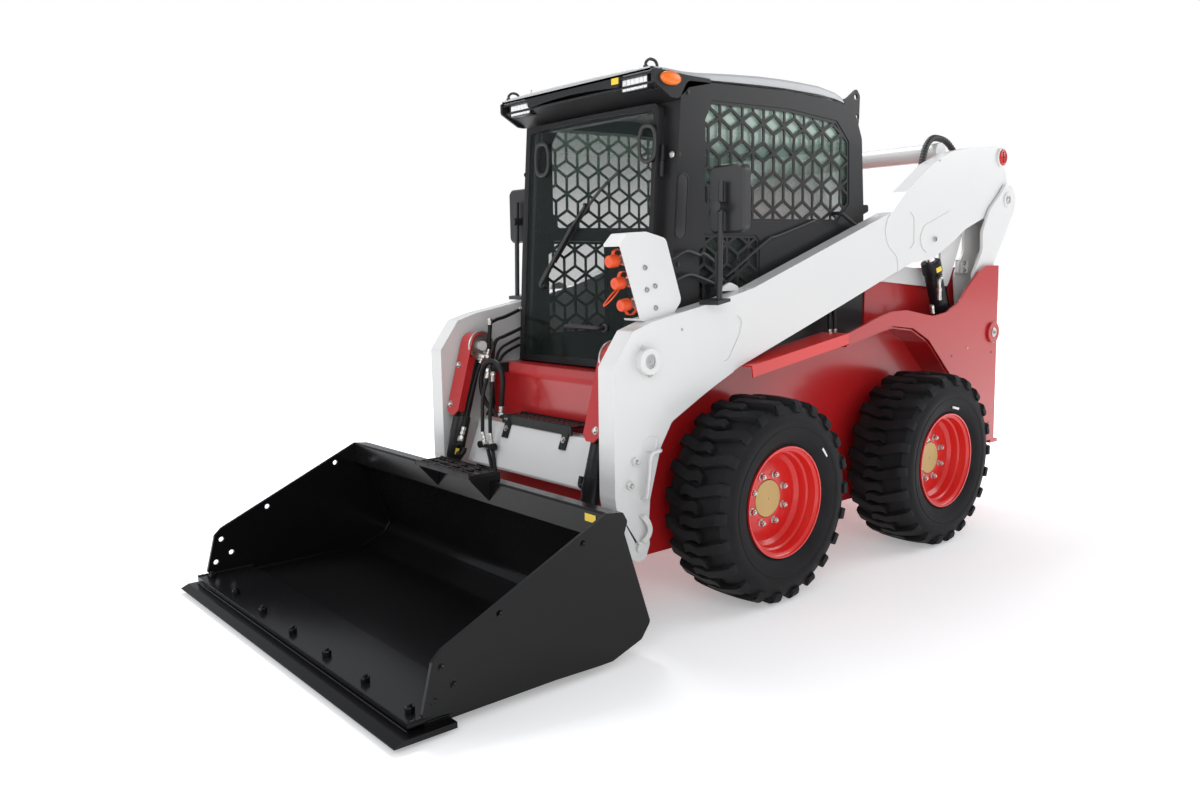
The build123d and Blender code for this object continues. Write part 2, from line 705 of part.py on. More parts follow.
def arm():
    """The left lift arm: a box beam with folded end plates, hollow where the rod enters."""
    front = ARM_OUT + ARM_JOG
    beam = plate(ARM, ARM_IN, front, ARM_RADII) - jog()
    seam = plate([(543, 1260), (504, 1224), (507, 1178), (541, 1076), (579, 985), (650, 880),
                  (-98, 1100), (-530, 1250), (-517, 1352), (-432, 1409), (-407, 1475), (-426, 1532),
                  (-482, 1582), (-430, 1640), (300, 1400)], ARM_OUT - ARM_SEAM, ARM_OUT + 1,
                 [0, 20, 60, 60, 60, 0, 0, 0, 60, 60, 60, 60, 0, 0, 0])
    panels = [plate(points, ARM_OUT - PANEL_DEPTH, front + 1, 20)
              for points in (REAR_PANEL, FRONT_PANEL)]
    pocket = plate([(-1300, 1400), (-1230, 1560), (-1000, 1740), (-800, 1740), (-640, 1560),
                    (-600, 1250)], ARM_IN + ARM_SKIN, ARM_OUT - ARM_SKIN)
    leg = plate([(-1300, 1600), (-1020, 1600), (-1040, 1237), (-1060, 1205), (-1110, 1205),
                 (-1130, 1237)], ARM_IN - LEG_T - 2, ARM_IN, [20, 20, 20, 20, 20, 20])
    bore = cross_pin(ARM_PIN, PIN_R + RUNNING, ARM_IN - 20, ARM_OUT + 20)
    pad = plate(ROD_PAD, ARM_OUT - 1, ARM_OUT + PANEL_DEPTH, 40)
    rod_pin = cross_pin(LIFT_ROD_PIN, PIN_R / 2, ARM_OUT, ARM_OUT + PANEL_DEPTH + 8)
    bezel = cross_pin(LAMP_CENTRE, LAMP_R + 9, ARM_OUT - 1, ARM_OUT + 6)
    boss = cross_pin(TILT_BASE_PIN, BOSS_R, ARM_OUT, front + 14)
    pin = cross_pin(TILT_BASE_PIN, PIN_R, TILT_Y - 50, front + 18)
    lower = cross_pin(BUCKET_PIN, PIN_R, COUPLER_HALF - 30, front + 12)
    body = beam.cut(seam, *panels, pocket, bore)
    return body.fuse(leg, pad, rod_pin, bezel, boss, pin, lower)


def tail_lamps():
    """The round red lamps on the arms' rear ends."""
    lens = cross_pin(LAMP_CENTRE, LAMP_R, ARM_OUT + 6 + RUNNING, ARM_OUT + 20)
    return both_sides(lens)


CROSS_FACE = ((1160, 655), (1232, 470))


def arm_crossmember():
    """The tube between the arms' lower legs and the box it carries between the tilt cylinders."""
    y = TILT_Y - TILT_BARREL_R - 20
    tube = cross_pin(LEG_TUBE, LEG_TUBE_R, -ARM_IN, ARM_IN)
    box = plate([*CROSS_FACE, (1205, 456), (1165, 468), (1088, 590), (1088, 655)], -y, y,
                [8, 10, 20, 20, 10, 8])
    return tube.fuse(box)


def cross_tube():
    """The round tube between the arms' rear plates."""
    return cross_pin(CROSS_TUBE, CROSS_TUBE_R, -ARM_IN, ARM_IN)


def mirrors():
    """The posts on the two arms, each with its mirror held behind by a knob."""
    foot = plate([arm_top(730, RUNNING), arm_top(800, RUNNING), (800, 1190), (730, 1198)],
                 ARM_OUT - 34, MIRROR_Y + 25)
    post = round_bar((MIRROR_X, MIRROR_Y, 1186), (MIRROR_X - 10, MIRROR_Y, 1640), 11)
    knob = round_bar((MIRROR_X - 32, MIRROR_Y, 1547), (MIRROR_X + 16, MIRROR_Y, 1547), 18)
    head = block(-18, 18, -90, 90, -128, 128)
    head = fillet(head.edges().filter_by(Axis.X), 30)
    head = chamfer(head.faces().sort_by(Axis.X)[-1].edges(), 8)
    head = Pos(MIRROR_X - 48, MIRROR_Y + 6, 1575) * head
    return both_sides(foot.fuse(post, knob, head))


def beside(line, along, depth):
    """A side-view point at a share of a line's length, off it to the line's left."""
    (x0, z0), (x1, z1) = line
    length = span(*line)
    x = x0 + (x1 - x0) * along - depth * (z1 - z0) / length
    z = z0 + (z1 - z0) * along + depth * (x1 - x0) / length
    return (x, z)


def tread_holes(x_low, x_high, z, rows, columns):
    """A pattern of diamond openings through a step's tread."""
    spacing = (x_high - x_low) / rows
    drill = Pos(0, 0, -STEP_T * 2) * extrude(RegularPolygon(STEP_HOLE_R, 4), amount=STEP_T * 4)
    middle = Pos((x_low + x_high) / 2, 0, z)
    return [middle * place * drill for place in GridLocations(spacing, 44, rows, columns)]


def front_step():
    """The perforated step on the front of the cross-member."""
    front = CROSS_FACE[0][0] + STEP_T
    rear, top = CHASSIS_FRONT + 16, 692
    tread = block(rear, front, -STEP_HALF, STEP_HALF, top - STEP_T, top)
    lip = block(front - STEP_T + RUNNING, front, -STEP_HALF, STEP_HALF, 657, top - 1)
    lug = [(front - STEP_T + RUNNING, top - STEP_T), (front, top - STEP_T),
           beside(CROSS_FACE, 0.04, STEP_T), beside(CROSS_FACE, 0.32, STEP_T),
           beside(CROSS_FACE, 0.32, RUNNING), beside(CROSS_FACE, 0, RUNNING)]
    lugs = [plate(lug, y - 20, y + 20) for y in (-STEP_HALF + 40, STEP_HALF - 40)]
    return tread.fuse(lip, *lugs).cut(*tread_holes(rear, front, top, 2, 10))


def arm_top(x, above=0.0):
    """A point over the arm's upper edge between the guard and the mirror."""
    return (x, 1121 + (1091 - x) * 67 / 373 + above)


def coupler_guard():
    """The folded cover of the quick couplers on the left arm, open to the front and inward."""
    points = [arm_top(1088, RUNNING), (1110, 1124), (1212, 1404), (1172, 1444), (1082, 1450),
              (980, 1427), (897, 1193), arm_top(935, RUNNING)]
    outside = GUARD_IN + GUARD_W
    cover = plate(points, GUARD_IN, outside, [0, 8, 8, 20, 30, 30, 30, 0])
    hollow = plate(shrink(points, GUARD_T), GUARD_IN - 1, outside - GUARD_T)
    mouth = plate([(1085, 1132), (1140, 1132), (1235, 1396), (1180, 1396)], GUARD_IN - 1,
                  outside - GUARD_T)
    return cover - hollow - mouth


def quick_couplers():
    """Three capped hydraulic couplers that point forward out of their guard, on one block."""
    y = GUARD_IN + GUARD_W / 2
    bodies = [plate([(985, 1180), (1020, 1168), (1100, 1400), (1062, 1400)], y - 30,
                    GUARD_IN + GUARD_W - GUARD_T - RUNNING)]
    for i in range(3):
        rear = (1024 + 28 * i, y, 1198 + 80 * i)
        neck = (rear[0] + 111, y, rear[2] - 12)
        front = (rear[0] + 148, y, rear[2] - 17)
        bodies.append(round_bar(rear, neck, 16))
        bodies.append(round_bar(neck, front, 24))
    return bodies[0].fuse(*bodies[1:])


def rear_link():
    """The left rear link: two cheeks round the arm's end and a web behind."""
    points = [(-1437, 1680), (-1337, 1601), (-1264, 1482), (-1272, 1386), (-1186, 1262),
              (-1230, 1010), (-1290, 890), (-1380, 868), (-1440, 930), (-1430, 1130), (-1391, 1316),
              (-1591, 1601), (-1598, 1672), (-1560, 1722), (-1490, 1735)]
    radii = [60, 60, 60, 60, 60, 60, 60, 60, 60, 60, 60, 40, 30, 40, 40]
    outer = plate(points, ARM_OUT + LINK_GAP, ARM_OUT + LINK_GAP + LINK_T, radii)
    inner = plate(points, ARM_IN - LINK_GAP - 12, ARM_IN - LINK_GAP, radii)
    pin = cross_pin(ARM_PIN, PIN_R, ARM_IN - LINK_GAP - 6, ARM_OUT + LINK_GAP + LINK_T + 8)
    web = plate([(-1440, 940), (-1430, 1130), (-1391, 1316), (-1575, 1578), (-1565, 1590),
                 (-1379, 1324), (-1418, 1130), (-1428, 940)],
                ARM_IN - LINK_GAP - 1, ARM_OUT + LINK_GAP + 1)
    bore = cross_pin(TOWER_PIN, PIN_R + RUNNING, ARM_IN - 60, ARM_OUT + 60)
    return outer.fuse(inner, pin, web) - bore


def control_link():
    """The left control link between the tower's inner wall and the arm's leg."""
    y_low = UPPER_HALF + 3
    bar = link_bar(CONTROL_BASE_PIN, CONTROL_ARM_PIN, 42, y_low, y_low + CONTROL_T)
    bore = cross_pin(CONTROL_BASE_PIN, PIN_R + RUNNING, y_low - 5, y_low + CONTROL_T + 5)
    return bar - bore


def cylinder_barrel(base, end, y, radius, gap, base_width):
    """A cylinder's barrel with the eye at its base pin, up to a gap from the rod's eye."""
    run = span(base, end)
    foot = towards(base, end, radius * 0.9)
    head = towards(base, end, run - gap)
    tube = round_bar((foot[0], y, foot[1]), (head[0], y, head[1]), radius)
    inner = towards(base, end, radius * 2.2)
    bore_r = radius * 0.8
    eye = cross_pin(base, PIN_R + 18, y - base_width / 2, y + base_width / 2)
    eye_bore = cross_pin(base, PIN_R + RUNNING, y - base_width, y + base_width)
    hollow = round_bar((inner[0], y, inner[1]), (head[0], y, head[1]), bore_r)
    return tube.fuse(eye) - eye_bore - hollow


def cylinder_rod(base, end, y, radius, barrel_r, retraction, eye_width):
    """A cylinder's rod with its piston, and the eye with its own pin."""
    depth = barrel_r * 2.2 + 12 + retraction
    start = towards(base, end, depth)
    rod = round_bar((start[0], y, start[1]), (end[0], y, end[1]), radius)
    crown = towards(base, end, depth + 38)
    piston_r = barrel_r * 0.8 - RUNNING
    piston = round_bar((start[0], y, start[1]), (crown[0], y, crown[1]), piston_r)
    eye = cross_pin(end, PIN_R + 18, y - eye_width / 2, y + eye_width / 2)
    return rod.fuse(piston, eye)


def lift_cylinders():
    """Barrels and rods of the two lift cylinders."""
    gap = 120
    args = (LIFT_BASE_PIN, LIFT_ROD_PIN, LIFT_Y)
    barrel = cylinder_barrel(*args, LIFT_BARREL_R, gap, 60)
    rod = cylinder_rod(*args, LIFT_ROD_R, LIFT_BARREL_R, 0, 44)
    return {"lift_barrels": both_sides(barrel), "lift_rods": both_sides(rod)}


def tilt_cylinders():
    """Barrels and rods of the two tilt cylinders."""
    gap = 105
    args = (TILT_BASE_PIN, TILT_ROD_PIN, TILT_Y)
    barrel = cylinder_barrel(*args, TILT_BARREL_R, gap, 56)
    rod = cylinder_rod(*args, TILT_ROD_R, TILT_BARREL_R, 50, 38)
    return {"tilt_barrels": both_sides(barrel), "tilt_rods": both_sides(rod)}


def tilt_guard():
    """The bent red guard in front of the left tilt cylinder, rounded over its pin."""
    dx = TILT_ROD_PIN[0] - TILT_BASE_PIN[0]
    dz = TILT_ROD_PIN[1] - TILT_BASE_PIN[1]
    length, stand, sheet = 330, 52, 6
    y = TILT_BARREL_R + 12
    top = stand + sheet
    face = block(-1, length, -y, y, stand, top)
    crown = cross_pin((0, 0), top, -y, y) - cross_pin((0, 0), stand, -y - 1, y + 1)
    crown &= block(-top, 0, -y, y, 0, top)
    lips = [block(60, length, side - sheet, side, stand - 28, stand + 1) for side in (y, -y + sheet)]
    strap = block(150, 180, -y, y, TILT_BARREL_R + RUNNING, stand + 1)
    guard = face.fuse(crown, *lips, strap)
    for corner in (y, -y):
        guard -= Pos(length, corner, 0) * (Rot(0, 0, 45) * Box(34, 34, 200))
    angle = math.degrees(math.atan2(dz, dx))
    return Pos(TILT_BASE_PIN[0], TILT_Y, TILT_BASE_PIN[1]) * (Rot(0, -angle, 0) * guard)


def coupler():
    """The carrier between the arms' tips and the bucket."""
    back = plate([beside(BUCKET_BACK, 0.02, RUNNING), beside(BUCKET_BACK, 0.98, RUNNING),
                  beside(BUCKET_BACK, 0.98, COUPLER_T), beside(BUCKET_BACK, 0.02, COUPLER_T)],
                 -COUPLER_HALF, COUPLER_HALF)
    ear = [(1125, 285), (1170, 240), beside(BUCKET_BACK, 0.05, COUPLER_T - 1),
           beside(BUCKET_BACK, 0.95, COUPLER_T - 1), (1400, 450), (1330, 440), (1150, 335)]
    radii = [30, 30, 0, 0, 20, 30, 30]
    outer = plate(ear, COUPLER_HALF - COUPLER_T, COUPLER_HALF, radii)
    inner_y = TILT_Y - TILT_BARREL_R - 6 - COUPLER_T
    inner = plate(ear, inner_y, inner_y + COUPLER_T, radii)
    bore = cross_pin(BUCKET_PIN, PIN_R + RUNNING, inner_y - 50, COUPLER_HALF + 50)
    ears = outer.fuse(inner) - bore
    tube = cross_pin((1290, 250), 35, -inner_y, inner_y)
    return back.fuse(ears, mirror(ears, about=Plane.XZ), tube)


BUCKET_BACK = ((1361, 119), (1477, 451))
BUCKET_SIDE = [(2255, 60), (2140, 42), (1596, 24), (1533, 24), (1402, 66), (1361, 119),
               (1477, 451), (1463, 491), (1483, 524), (1553, 532), (2185, 243), (2215, 215)]


SIDE_HOLES = [(1655, 452), (1981, 302), (2187, 194), (2148, 130), (2215, 99)]


def bucket_shell():
    """The bucket's floor, curved back and top rail."""
    y = BUCKET_HALF - BUCKET_SIDE_T
    front, low, floor = EDGE_TIP - 116, 23, 23 + BUCKET_WALL + 1
    outer = [(front, low), (1533, low), (1402, 66), *BUCKET_BACK, (1463, 491), (1483, 524),
             (1553, 532), (1558, 436)]
    inner = [(1500, 432), (1388, 125), (1416, 86), (1536, floor), (front, floor)]
    return plate(outer + inner, -y, y, [0, 20, 20, 20, 6, 8, 8, 8, 8, 20, 60, 60, 60, 0])


def bucket_side():
    """The bucket's left side plate with its bolt holes."""
    low, high = BUCKET_HALF - BUCKET_SIDE_T, BUCKET_HALF
    side = plate(BUCKET_SIDE, low, high, [8, 20, 0, 20, 20, 20, 10, 14, 14, 14, 20, 10])
    return side.cut(*[cross_pin(hole, SIDE_HOLE_R, low - 1, high + 1) for hole in SIDE_HOLES])


def base_edge():
    """The thick edge welded along the floor's front."""
    y = BUCKET_HALF - BUCKET_SIDE_T
    return block(EDGE_TIP - 296, EDGE_TIP - 61, -y, y, 36, 54)


def bolt_edge():
    """The reversible edge bolted under the base edge."""
    y = BUCKET_HALF + EDGE_OVER
    rear, top = EDGE_TIP - 206, 23 - RUNNING
    return plate([(rear, EDGE_LOW), (EDGE_TIP, EDGE_LOW + 2), (EDGE_TIP, EDGE_LOW + 5),
                  (EDGE_TIP - 31, top), (rear, top)], -y, y)


def bucket_step():
    """The perforated step on the bucket's top rail, off its middle to the right."""
    x_low, x_high, top = 1470, 1560, 566
    tread = block(x_low, x_high, -260, 260, top - STEP_T, top)
    tread = tread.cut(*tread_holes(x_low, x_high, top, 2, 11))
    foot = [(1490, 525), (1545, 531.3)]
    legs = [plate([*foot, (1545, 559), (1490, 559)], y, y + 6) for y in (-258, 252)]
    return Pos(0, -60, 0) * tread.fuse(*legs)


def write(parts):
    """One file for each sub-part, in a frame on the floor under the machine's middle."""
    os.makedirs("parts", exist_ok=True)
    box = Compound([solid for shape in parts.values() for solid in shape.solids()]).bounding_box()
    place = Pos(-(box.min.X + box.max.X) / 2, 0, -box.min.Z)
    for name, shape in parts.items():
        solids = [place * solid for solid in shape.solids()]
        whole = Compound(solids) if len(solids) > 1 else solids[0]
        export_step(whole, f"parts/{name}.step")


def both(*shapes):
    """The solids of left-hand shapes with their mirror images."""
    solids = [solid for shape in shapes for solid in shape.solids()]
    return Compound(solids + [mirror(solid, about=Plane.XZ) for solid in solids])


def together(*shapes):
    """Several shapes as one node of separate solids."""
    return Compound([solid for shape in shapes for solid in shape.solids()])


def all_parts():
    """Every sub-part by its name."""
    parts = wheels()
    parts["axle_housings"] = axle_housings()
    parts["chassis_tub"] = chassis_tub()
    parts["front_panel"] = front_panel()
    parts["tower_walls"] = both(upper_wall())
    parts["tower_plates"] = both(tower(), fender())
    parts["side_steps"] = both(step_plate())
    parts["engine"] = together(engine(), engine_mounts())
    parts["engine_hood"] = rear_hood()
    parts["rear_bumper"] = rear_bumper()
    parts["tailgate"] = tailgate()
    parts["fixed_hinges"] = together(tailgate_hinges(), door_hinges())
    parts["cab_sides"] = both(cab_side())
    parts["cab_rear"] = cab_rear()
    parts["cab_front"] = cab_front()
    parts["cab_roof"] = cab_roof()
    parts["cab_floor"] = cab_floor()
    parts["window_grilles"] = both(window_grilles())
    parts["cab_glass"] = together(both(window_glass()), rear_glass())
    parts["visor"] = visor()
    parts["work_lamps"] = work_lamps()
    parts["marker_lamps"] = marker_lamps()
    parts["roof_ears"] = roof_ears()
    parts["seat_cushions"] = seat_cushions()
    parts["seat_base"] = seat_base()
    parts["controls"] = controls()
    parts.update(parts_of_door())
    parts["rear_links"] = both(rear_link())
    parts["control_links"] = both(control_link())
    parts["arm_left"] = arm()
    parts["arm_right"] = mirror(arm(), about=Plane.XZ)
    parts["arm_cross_members"] = together(arm_crossmember(), cross_tube())
    parts["front_step"] = front_step()
    parts["coupler_guard"] = coupler_guard()
    parts["quick_couplers"] = quick_couplers()
    parts["mirrors"] = mirrors()
    parts["tail_lamps"] = tail_lamps()
    parts.update(lift_cylinders())
    parts.update(tilt_cylinders())
    parts["tilt_guards"] = both(tilt_guard())
    parts["bucket_coupler"] = coupler()
    parts["bucket_shell"] = bucket_shell()
    parts["bucket_sides"] = both(bucket_side())
    parts["cutting_edges"] = together(base_edge(), bolt_edge())
    parts["bucket_step"] = bucket_step()
    return parts


write(all_parts())
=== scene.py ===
import json
import math

import bmesh
import bpy
from mathutils import Matrix, Vector


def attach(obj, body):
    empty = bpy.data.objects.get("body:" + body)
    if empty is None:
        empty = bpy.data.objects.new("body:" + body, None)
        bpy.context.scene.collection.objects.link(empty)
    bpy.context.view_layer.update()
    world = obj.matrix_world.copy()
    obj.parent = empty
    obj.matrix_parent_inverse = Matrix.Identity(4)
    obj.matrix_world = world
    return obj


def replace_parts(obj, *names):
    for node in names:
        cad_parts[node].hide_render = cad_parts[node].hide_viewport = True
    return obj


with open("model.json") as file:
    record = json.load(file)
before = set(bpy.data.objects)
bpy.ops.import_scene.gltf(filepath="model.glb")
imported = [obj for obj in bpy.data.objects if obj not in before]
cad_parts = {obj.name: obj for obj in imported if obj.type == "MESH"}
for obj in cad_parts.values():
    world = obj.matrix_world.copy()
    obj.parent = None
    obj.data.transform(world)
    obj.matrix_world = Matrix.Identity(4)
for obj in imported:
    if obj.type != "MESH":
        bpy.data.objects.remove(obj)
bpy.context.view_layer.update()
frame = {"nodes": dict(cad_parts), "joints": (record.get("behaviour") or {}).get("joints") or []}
NODES = frame["nodes"]

SIDES = ((1, "left"), (-1, "right"))

# Places that several pieces share, in stations: mm, X from the middle of the wheelbase, Z from the datum
AXLE_X, AXLE_Z, WHEEL_Y = 597, 400, 732
CAB_HALF, ARM_FACE, LEG_FACE, TOWER_FACE = 500, 624, 631, 668
TILT_Y, TILT_BASE, TILT_EYE = 483, (1130, 980), (1320, 310)
LIFT_Y, LIFT_BASE, LIFT_EYE = 585, (-1170, 643), (-823, 1440)
DOOR_FOOT, DOOR_TOP = (892, 905), (823, 1955)
POCKET = (805, 1555)

# From stations to the frame, in metres
HUB = next(j for j in frame["joints"] if j["name"] == "wheel_spin_front_left")["pos_m"]
OX, OZ = HUB[0] - AXLE_X / 1000, HUB[2] - AXLE_Z / 1000


def P(x, y, z):
    """A point given in stations, as a place in the frame."""
    return Vector((x / 1000 + OX, y / 1000, z / 1000 + OZ))


def pin_at(place, y):
    """A pin's middle, from its (x, z) in stations, at one y."""
    return P(place[0], y, place[1])


# Materials

def new_material(name):
    mat = bpy.data.materials.new(name)
    mat.use_nodes = True
    nodes = mat.node_tree.nodes
    return mat, nodes, mat.node_tree.links, nodes["Principled BSDF"]


def noise(nodes, links, scale, detail=4, rough=0.55, coords="Object"):
    coord = nodes.new("ShaderNodeTexCoord")
    tex = nodes.new("ShaderNodeTexNoise")
    tex.inputs["Scale"].default_value = scale
    tex.inputs["Detail"].default_value = detail
    tex.inputs["Roughness"].default_value = rough
    links.new(coord.outputs[coords], tex.inputs["Vector"])
    return tex


def ramp(nodes, links, source, stops):
    """A colour ramp fed by a socket; each stop is a position and a grey level or a colour."""
    node = nodes.new("ShaderNodeValToRGB")
    node.color_ramp.elements[0].position = stops[0][0]
    node.color_ramp.elements[1].position = stops[-1][0]
    for i, stop in enumerate(stops):
        if 0 < i < len(stops) - 1:
            node.color_ramp.elements.new(stop[0])
    for element, stop in zip(node.color_ramp.elements, stops):
        c = stop[1]
        element.color = (*c, 1) if isinstance(c, (tuple, list)) else (c, c, c, 1)
    links.new(source, node.inputs["Fac"])
    return node


def add_bump(nodes, links, shader, height, strength, distance):
    bump = nodes.new("ShaderNodeBump")
    bump.inputs["Strength"].default_value = strength
    bump.inputs["Distance"].default_value = distance
    links.new(height, bump.inputs["Height"])
    links.new(bump.outputs["Normal"], shader.inputs["Normal"])
    return bump


def paint(name, color, rough=0.3, coat=0.35, mottle=0.02, orange_peel=0.012, dust=0.0):
    """Sprayed paint: a faint mottle, a little orange peel, and a dust term that adds roughness where a fine
    noise runs high.
    """
    mat, nodes, links, shader = new_material(name)
    big = noise(nodes, links, 3.0, 3)
    low = tuple(c * (1 - mottle) for c in color)
    high = tuple(min(1, c * (1 + mottle)) for c in color)
    tone = ramp(nodes, links, big.outputs["Fac"], [(0.3, low), (0.7, high)])
    links.new(tone.outputs["Color"], shader.inputs["Base Color"])
    fine = noise(nodes, links, 60.0, 5)
    gloss = ramp(nodes, links, fine.outputs["Fac"], [(0.3, rough * 0.93), (0.7, rough * 1.08 + dust)])
    links.new(gloss.outputs["Color"], shader.inputs["Roughness"])
    peel = noise(nodes, links, 420.0, 2)
    add_bump(nodes, links, shader, peel.outputs["Fac"], orange_peel, 0.0006)
    shader.inputs["Coat Weight"].default_value = coat
    shader.inputs["Coat Roughness"].default_value = 0.12
    return mat


def rubber(name, color=(0.022, 0.022, 0.023), rough=0.62):
    mat, nodes, links, shader = new_material(name)
    big = noise(nodes, links, 9.0, 5)
    tone = ramp(nodes, links, big.outputs["Fac"],
                [(0.35, tuple(c * 0.8 for c in color)), (0.75, tuple(c * 1.5 for c in color))])
    links.new(tone.outputs["Color"], shader.inputs["Base Color"])
    fine = noise(nodes, links, 300.0, 4)
    gloss = ramp(nodes, links, big.outputs["Fac"], [(0.3, rough - 0.1), (0.7, rough + 0.08)])
    links.new(gloss.outputs["Color"], shader.inputs["Roughness"])
    add_bump(nodes, links, shader, fine.outputs["Fac"], 0.15, 0.0008)
    shader.inputs["Specular IOR Level"].default_value = 0.32
    return mat


def metal(name, color, rough=0.3, scale=120.0):
    mat, nodes, links, shader = new_material(name)
    fine = noise(nodes, links, scale, 5)
    tone = ramp(nodes, links, fine.outputs["Fac"],
                [(0.3, tuple(c * 0.85 for c in color)), (0.7, color)])
    links.new(tone.outputs["Color"], shader.inputs["Base Color"])
    gloss = ramp(nodes, links, fine.outputs["Fac"], [(0.3, rough * 0.8), (0.7, rough * 1.3)])
    links.new(gloss.outputs["Color"], shader.inputs["Roughness"])
    shader.inputs["Metallic"].default_value = 1.0
    add_bump(nodes, links, shader, fine.outputs["Fac"], 0.05, 0.0005)
    return mat


def plastic(name, color, rough=0.45, grain=500.0, bump=0.12):
    mat, nodes, links, shader = new_material(name)
    fine = noise(nodes, links, grain, 3)
    tone = ramp(nodes, links, fine.outputs["Fac"],
                [(0.3, tuple(c * 0.85 for c in color)), (0.7, tuple(min(1, c * 1.12) for c in color))])
    links.new(tone.outputs["Color"], shader.inputs["Base Color"])
    gloss = ramp(nodes, links, fine.outputs["Fac"], [(0.3, rough * 0.9), (0.7, rough * 1.1)])
    links.new(gloss.outputs["Color"], shader.inputs["Roughness"])
    add_bump(nodes, links, shader, fine.outputs["Fac"], bump, 0.0005)
    return mat


def glass(name, color, alpha, rough=0.03):
    """Clear glazing: mostly see-through, with the shine of its surface."""
    mat, nodes, links, shader = new_material(name)
    smudge = noise(nodes, links, 5.0, 6)
    gloss = ramp(nodes, links, smudge.outputs["Fac"], [(0.35, rough), (0.8, rough + 0.06)])
    links.new(gloss.outputs["Color"], shader.inputs["Roughness"])
    shader.inputs["Base Color"].default_value = (*color, 1)
    shader.inputs["Alpha"].default_value = alpha
    shader.inputs["IOR"].default_value = 1.5
    shader.inputs["Coat Weight"].default_value = 0.5
    shader.inputs["Coat Roughness"].default_value = 0.03
    return mat


def fade(mat, stops, clear):
    """Colour and opacity that change with height up the pane."""
    nodes, links = mat.node_tree.nodes, mat.node_tree.links
    shader = nodes["Principled BSDF"]
    coord = nodes.new("ShaderNodeTexCoord")
    split = nodes.new("ShaderNodeSeparateXYZ")
    links.new(coord.outputs["Object"], split.inputs[0])
    height = nodes.new("ShaderNodeMapRange")
    height.inputs["From Min"].default_value = 1.0
    height.inputs["From Max"].default_value = 2.0
    links.new(split.outputs["Z"], height.inputs["Value"])
    links.new(ramp(nodes, links, height.outputs["Result"], stops).outputs["Color"],
              shader.inputs["Base Color"])
    links.new(ramp(nodes, links, height.outputs["Result"], clear).outputs["Color"], shader.inputs["Alpha"])


WHITE = paint("gloss_white", (0.72, 0.72, 0.712), rough=0.3, coat=0.3, mottle=0.008, orange_peel=0.008)
RED = paint("deep_red", (0.44, 0.012, 0.014), rough=0.3, coat=0.35, mottle=0.025)
BRIGHT_RED = paint("bright_red", (0.68, 0.018, 0.015), rough=0.3, coat=0.35, mottle=0.02)
BLACK = paint("satin_black", (0.010, 0.010, 0.011), rough=0.4, coat=0.12, mottle=0.05)
CAB = paint("cab_black", (0.017, 0.017, 0.018), rough=0.44, coat=0.08, mottle=0.05)
BUCKET_BLACK = paint("bucket_black", (0.006, 0.006, 0.0065), rough=0.2, coat=0.0, mottle=0.05,
                     orange_peel=0.01)
GREY = paint("roof_grey", (0.45, 0.46, 0.465), rough=0.4, coat=0.15, mottle=0.04)
TYRE = rubber("tyre_rubber", (0.013, 0.013, 0.014), 0.6)
HOSE = rubber("hose_rubber", (0.010, 0.010, 0.011), 0.46)
GLASS = glass("clear_glass", (0.02, 0.035, 0.03), 0.16)
TINTED = glass("side_glass", (0.05, 0.075, 0.065), 0.22)
CHROME = metal("rod_chrome", (0.78, 0.79, 0.8), 0.14)
ZINC = metal("zinc_plate", (0.62, 0.61, 0.58), 0.32)
STEEL_BRIGHT = metal("pin_steel", (0.46, 0.46, 0.47), 0.34)
DARK_LENS = plastic("dark_lens_bar", (0.05, 0.004, 0.004), 0.3, 300.0, 0.05)
BLUE = paint("hose_mark_blue", (0.03, 0.09, 0.35), rough=0.4, coat=0.1, mottle=0.02)
GOLD = paint("hub_gold", (0.55, 0.38, 0.13), rough=0.42, coat=0.1, mottle=0.12)
VINYL = plastic("seat_vinyl", (0.022, 0.022, 0.024), 0.5, 260.0, 0.3)
PLASTIC = plastic("black_plastic", (0.02, 0.02, 0.021), 0.42)
ORANGE = plastic("orange_lens", (0.9, 0.17, 0.01), 0.22, 200.0, 0.05)
COUPLER = plastic("coupler_caps", (0.75, 0.075, 0.01), 0.38, 200.0, 0.08)
LENS = plastic("lamp_lens", (0.9, 0.91, 0.92), 0.15, 300.0, 0.05)
TAIL = plastic("tail_lens", (0.55, 0.01, 0.01), 0.2, 300.0, 0.1)
YELLOW = paint("blank_yellow_label", (0.85, 0.6, 0.03), rough=0.35, coat=0.2, mottle=0.03)
fade(TINTED, [(0.25, (0.02, 0.03, 0.026)), (0.62, (0.05, 0.09, 0.07)), (0.95, (0.36, 0.52, 0.43))],
     [(0.25, 0.16), (0.62, 0.24), (0.95, 0.6)])
for dark, level in ((BLACK, 0.2), (CAB, 0.22), (BUCKET_BLACK, 0.22), (TYRE, 0.12), (HOSE, 0.25)):
    dark.node_tree.nodes["Principled BSDF"].inputs["Specular IOR Level"].default_value = level
IRON = paint("engine_iron", (0.06, 0.06, 0.062), rough=0.6, coat=0.0, mottle=0.2)

